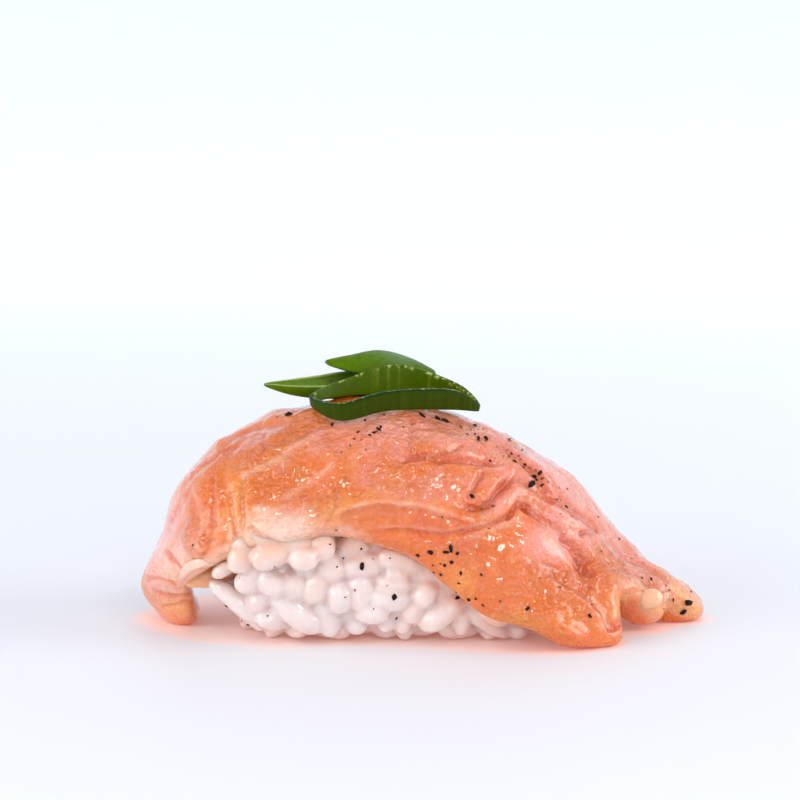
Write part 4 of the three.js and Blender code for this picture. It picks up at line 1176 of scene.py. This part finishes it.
def core_shape():
    """A smooth heap behind the grains."""
    columns, rings = CORE_STEPS["around"], CORE_STEPS["up"]
    around, up = np.meshgrid(full_turn(columns), np.linspace(-1.5, 1.5, rings), indexing="ij")
    around, up = around.ravel(), up.ravel()
    away = np.stack([np.cos(around) * np.cos(up), np.sin(around) * np.cos(up), np.sin(up)], -1)
    points = at_depth(HEAP_CENTRE + away, 0.0)
    poles = HEAP_CENTRE + np.array([[0, 0, -HEAP_HALF["bottom"]], [0, 0, HEAP_HALF["top"]]])
    points = HEAP_CENTRE + (np.vstack([points, poles]) - HEAP_CENTRE) * HEAP_CORE
    points[:, 2] = np.maximum(points[:, 2], GROUND_GAP)
    count = columns * rings
    faces = grid_faces(columns, rings, closed=True)
    for i in range(0, count, rings):
        k = (i + rings) % count
        faces += [[count, k, i], [count + 1, i + rings - 1, k + rings - 1]]
    return points, faces


def joined(points, faces, cell, smoothings):
    """One skin round closed meshes that overlap, with soft creases where they meet."""
    mesh = new_mesh("joining", points * MM, faces)
    obj = new_object("joining", mesh)
    remesh = obj.modifiers.new("join", "REMESH")
    remesh.mode = "VOXEL"
    remesh.voxel_size = cell * MM
    smooth = obj.modifiers.new("soften", "SMOOTH")
    smooth.factor = 0.5
    smooth.iterations = smoothings
    made = bpy.data.meshes.new_from_object(obj.evaluated_get(bpy.context.evaluated_depsgraph_get()))
    own_points = np.empty(3 * len(made.vertices))
    made.vertices.foreach_get("co", own_points)
    own_faces = [tuple(face.vertices) for face in made.polygons]
    bpy.data.objects.remove(obj)
    bpy.data.meshes.remove(mesh)
    bpy.data.meshes.remove(made)
    return own_points.reshape(-1, 3) / MM, own_faces


def add_rice(material, slab_tree):
    rng = np.random.default_rng(GRAIN_SEED)
    centres, axes, lengths, widths = settle(first_grains(rng), slab_tree)
    for x, up, y, degrees, length, width in EDGE_GRAINS:
        centres = np.vstack([centres, seen_at((x, up), y)])
        axes = np.vstack([axes, seen_axis(degrees)])
        lengths, widths = np.append(lengths, length), np.append(widths, width)
    shape = grain_faces()
    core, faces = core_shape()
    parts = [core]
    owners = KDTree(3 * len(centres))
    start = len(core)
    for k, (centre, axis, length, width) in enumerate(zip(centres, axes, lengths, widths)):
        own = grain_points(length, width, rng) @ turned_to(axis, rng).T + centre
        own[:, 2] = np.maximum(own[:, 2], GROUND_GAP)
        faces += [[i + start for i in face] for face in shape]
        start += len(own)
        parts.append(own)
        for step in (-1, 0, 1):
            owners.insert(Vector(centre + axis * step * (length - width) / 2), k)
    owners.balance()
    points, faces = joined(np.vstack(parts), faces, **GRAIN_JOIN)

    # Painted light beside the salmon, a warm tone in some grains and near the top, painted shade between
    # grains.
    whims = rng.uniform(0, 1, len(centres))
    near_slab = np.array([slab_tree.find_nearest(Vector(place))[3] for place in points])
    whim = whims[[owners.find(Vector(place))[1] for place in points]]
    # Painted light from the salmon: warmer the nearer the slab.
    share = 0.5 * np.exp(-np.maximum(near_slab - 0.8, 0) / 1.8)
    share = share + 0.25 * whim + 0.15 * smoothstep(points[:, 2], 11, 14)
    # Painted shade: darker where points lie inside the heap's skin, down between the grains.
    deep = smoothstep(-heap_level(points), -0.95, -0.86)
    tint = toward(linear(RICE_WHITE), linear(RICE_WARM_AND_SALMON_LIGHT), np.clip(share, 0, 1))
    tint = toward(tint, linear(RICE_GAP_SHADE), 0.7 * deep)
    add_piece("rice_grains", points, faces, material, ["rice"], {"tint": tint})
    return tree_of(points, faces)


def add_onion(material):
    skin, inner, bright, pale, dark = map(
        linear, (ONION_SKIN, ONION_INNER, ONION_BRIGHT, ONION_PALE_AND_GLINT, ONION_DARK)
    )
    points, rise, out, veins = ring_points()
    tint = np.where((out > 0)[:, None], skin, inner)
    streak = np.clip(1.4 * veins - 0.5, 0, 1) * (out < -0.5) * (0.4 + 0.6 * smoothstep(rise, 0.2, 0.9))
    tint = toward(tint, linear(ONION_STREAK), 0.7 * streak)
    tint = toward(tint, dark, 0.9 * bell((rise - 1) / 0.09) * (out > -0.5))
    # Painted highlights: pale dots along the ring's upper rim.
    rim_glints = smoothstep(noise(points, 0.3, 33), 0.2, 0.6) * bell((rise - 0.96) / 0.07) * (out < 0.6)
    tint = toward(tint, pale, 0.8 * rim_glints)
    faces = flipped(grid_faces(RING_STEPS["around"], RING_STEPS["section"], closed=True, wound=True))
    attributes = {"tint": tint, "vein": veins}
    add_piece("onion_ring_cut", points, faces, material, ["onion_ring"], attributes)

    faces = sheet_faces(LEAF_STEPS["along"], LEAF_STEPS["across"], 1)
    for name, leaf in [("low", LOW_LEAF), ("top", TOP_LEAF)]:
        upper, lower, share, place, veins = leaf_points(leaf)
        edge = bell((1 - np.abs(place)) / 0.05)
        inside = toward(bright, pale, 0.12 + 0.5 * edge)
        outside = toward(bright, skin, 0.1 + 0.4 * share)
        if name == "top":
            sheen = np.exp(-(((share - 0.62) / 0.2) ** 2 + ((place - 0.1) / 0.5) ** 2))
            outside = toward(outside, linear(ONION_SHEEN), 0.6 * sheen)
        outside = toward(outside, dark, edge * 0.8)
        attributes = {"tint": np.vstack([inside, outside]), "vein": np.tile(veins, 2)}
        points = np.vstack([upper, lower])
        add_piece(
            f"onion_{name}_leaf_cut", points, faces, material, [f"onion_{name}_leaf"], attributes
        )


def fleck_points(length, rng, ball):
    """One broken bit of a peppercorn, with flat sides."""
    points = ball * (1 + rng.uniform(-0.35, 0.2, len(ball)))[:, None]
    return points * (1.15, rng.uniform(0.4, 0.95), rng.uniform(0.35, 0.6)) * length / 2


def icosahedron():
    golden = (1 + math.sqrt(5)) / 2
    points = []
    for a, b in itertools.product((-1, 1), (-golden, golden)):
        points += [(0, a, b), (a, b, 0), (b, 0, a)]
    points = np.array(points)
    faces = []
    for trio in itertools.combinations(range(12), 3):
        corners = points[list(trio)]
        if all(abs(np.linalg.norm(corners[i] - corners[i - 1]) - 2) < 1e-6 for i in range(3)):
            outward = np.dot(np.cross(corners[1] - corners[0], corners[2] - corners[0]), corners[0]) > 0
            faces.append(trio if outward else trio[::-1])
    return unit(points), faces


def add_pepper(trees):
    """All the flecks of one colour as one piece, on what the eye sees at their places."""
    ball, shape = icosahedron()
    rng = np.random.default_rng(FLECK_SEED)
    spots = {colour: [(*fleck, 1) for fleck in flecks] for colour, (flecks, *_) in PEPPERS.items()}
    low, high = BACK_FLECKS["length"]
    for k in range(BACK_FLECKS["count"]):
        spot = [rng.uniform(*BACK_FLECKS[key]) for key in ("across", "up")]
        length = low + (high - low) * rng.uniform() ** 3
        spots["brown" if k % 4 == 0 else "black"].append((*spot, length, -1))
    for colour, flecks in spots.items():
        points, faces = [], []
        for x, y, length, side in flecks:
            hit = hit_on(trees, (x, y), side)
            if hit is None:
                continue
            place, normal = np.array(hit[0]), np.array(hit[1])
            axis = unit(np.cross(normal, rng.normal(size=3)))
            own = fleck_points(length * FLECK_SCALE, rng, ball) @ turned_to(axis, normal=normal).T
            own += place + normal * FLECK_LIFT * length
            start = len(points) * len(ball)
            faces += [[k + start for k in face] for face in shape]
            points.append(own)
        name = f"pepper_{colour}"
        material = pepper_material(name, *PEPPERS[colour][1:])
        obj = add_piece(name, np.vstack(points), faces, material, ["salmon", "rice"])
        polygons = obj.data.polygons
        polygons.foreach_set("use_smooth", [False] * len(polygons))


def add_strip(name, seen, width, flatness, lift, colour, material, slab_tree):
    """A flat strip along seen places, laid on the slab or level with its last hit."""
    spine = []
    for spot in seen:
        hit = hit_on([slab_tree], spot)
        y = hit[0].y + lift * hit[1].y if hit else spine[-1][1]
        spine.append(seen_at(spot, y))
    steps, section = STRIP_STEPS["along"], STRIP_STEPS["section"]
    share = np.linspace(0, 1, steps)
    path = rail(spine)(share)
    forward = unit(np.gradient(path, axis=0))
    side = unit(np.cross(forward, -FORWARD))
    up = np.cross(side, forward)
    radius = 0.12 + width * np.sin(math.pi * share**0.8) ** 0.8
    turn = full_turn(section)[:, None]
    ring = side[:, None] * np.cos(turn) + flatness * up[:, None] * np.sin(turn)
    points = (path[:, None] + ring * radius[:, None, None]).reshape(-1, 3)
    points += 0.05 * noise(points, 0.9, 40)[:, None]
    faces = [face[1:] + face[:1] for face in grid_faces(steps, section, wound=True)]
    faces += [list(range(section)), list(range((steps - 1) * section, steps * section))[::-1]]
    tint = np.tile(linear(colour), (len(points), 1))
    add_piece(name, points, faces, material, ["salmon"], {"tint": tint})


def add_scraps(material, slab_tree):
    """The wisp of fat by the left leg, the shred from the leg to the rice, and the
    grain that is stuck to the right end."""
    for name, strip in STRIPS.items():
        add_strip(name, *strip, material, slab_tree)

    rng = np.random.default_rng(STUCK_GRAIN["seed"])
    place, normal, *_ = hit_on([slab_tree], STUCK_GRAIN["seen"])
    own = grain_points(STUCK_GRAIN["length"], STUCK_GRAIN["width"], rng)
    own = own @ turned_to(STUCK_GRAIN_AXIS, normal=-FORWARD).T
    own = own + np.array(place) + STUCK_GRAIN["lift"] * np.array(normal)
    tint = np.tile(linear(STUCK_GRAIN["colour"]), (len(own), 1))
    add_piece("stuck_grain", own, grain_faces(), material, ["salmon"], {"tint": tint})


# ----------------------------------------------------------------- the studio


def floor_glow(points, slab_points):
    """How much light that came through the salmon reaches each point of the floor."""
    glow = np.zeros(len(points))
    for below, reach, strength in GLOWS:
        chosen = slab_points[slab_points[:, 2] < below]
        tree = KDTree(len(chosen))
        for k, (x, y, z) in enumerate(chosen):
            tree.insert(Vector((x, y + GLOW_FALL * z, 0)), k)
        tree.balance()
        near = np.array([tree.find(Vector(place / MM))[2] for place in points])
        glow = np.maximum(glow, strength * bell(near / reach))
    return glow


def add_floor(slab_points):
    """A pale floor that curves up into a wall all round."""
    turns, flat = FLOOR["turns"], FLOOR["flat_rings"]
    bend = np.linspace(0.1, math.pi / 2, FLOOR["bend_rings"])
    flat_radii = FLOOR["flat"] * np.linspace(0.003, 1, flat) ** 2
    radii = np.concatenate([flat_radii, FLOOR["flat"] + FLOOR["bend"] * np.sin(bend)])
    heights = np.concatenate([np.zeros(flat), FLOOR["bend"] * (1 - np.cos(bend))])
    turn = full_turn(turns)
    x, y = np.outer(radii, np.cos(turn)), np.outer(radii, np.sin(turn))
    points = np.stack(np.broadcast_arrays(x, y, heights[:, None]), -1).reshape(-1, 3)
    faces = grid_faces(len(radii), turns, wound=True) + [list(range(turns))]
    glow = {"glow": floor_glow(points, slab_points)}
    floor = new_object("floor", new_mesh("floor", points, faces, floor_material(), glow))


def add_lights():
    """Soft lamps, small ones for the glints, and the sky."""
    for name, (place, size, power) in LAMPS.items():
        lamp = bpy.data.lights.new(name, "AREA")
        lamp.size = size
        lamp.energy = power
        obj = new_object(name, lamp)
        obj.location = place
        obj.rotation_euler = (Vector(LAMP_AIM) - Vector(place)).to_track_quat("-Z", "Y").to_euler()

    world = bpy.data.worlds.new("studio")
    world.use_nodes = True
    for key, value in SKY.items():
        world.node_tree.nodes["Background"].inputs[key].default_value = value
    bpy.context.scene.world = world
    bpy.context.scene.view_settings.view_transform = "Standard"


def add_camera():
    data = bpy.data.cameras.new("camera")
    data.lens = EYE_LENS["focal"]
    data.sensor_width = EYE_LENS["sensor"]
    data.clip_start, data.clip_end = 0.01, 10
    camera = new_object("camera", data)
    camera.location = EYE_PLACE * MM
    camera.rotation_euler = Vector(FORWARD).to_track_quat("-Z", "Y").to_euler()
    bpy.context.scene.camera = camera


def main():
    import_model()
    add_camera()
    slab_tree, slab_points = add_salmon(salmon_material())
    add_floor(slab_points)
    add_lights()
    rice_tree = add_rice(rice_material("rice_grain", RICE_CLOUD, 0.9), slab_tree)
    add_scraps(rice_material("soft_fat", FAT_CLOUD, 0.3), slab_tree)
    add_onion(onion_material())
    add_pepper([slab_tree, rice_tree])


main()
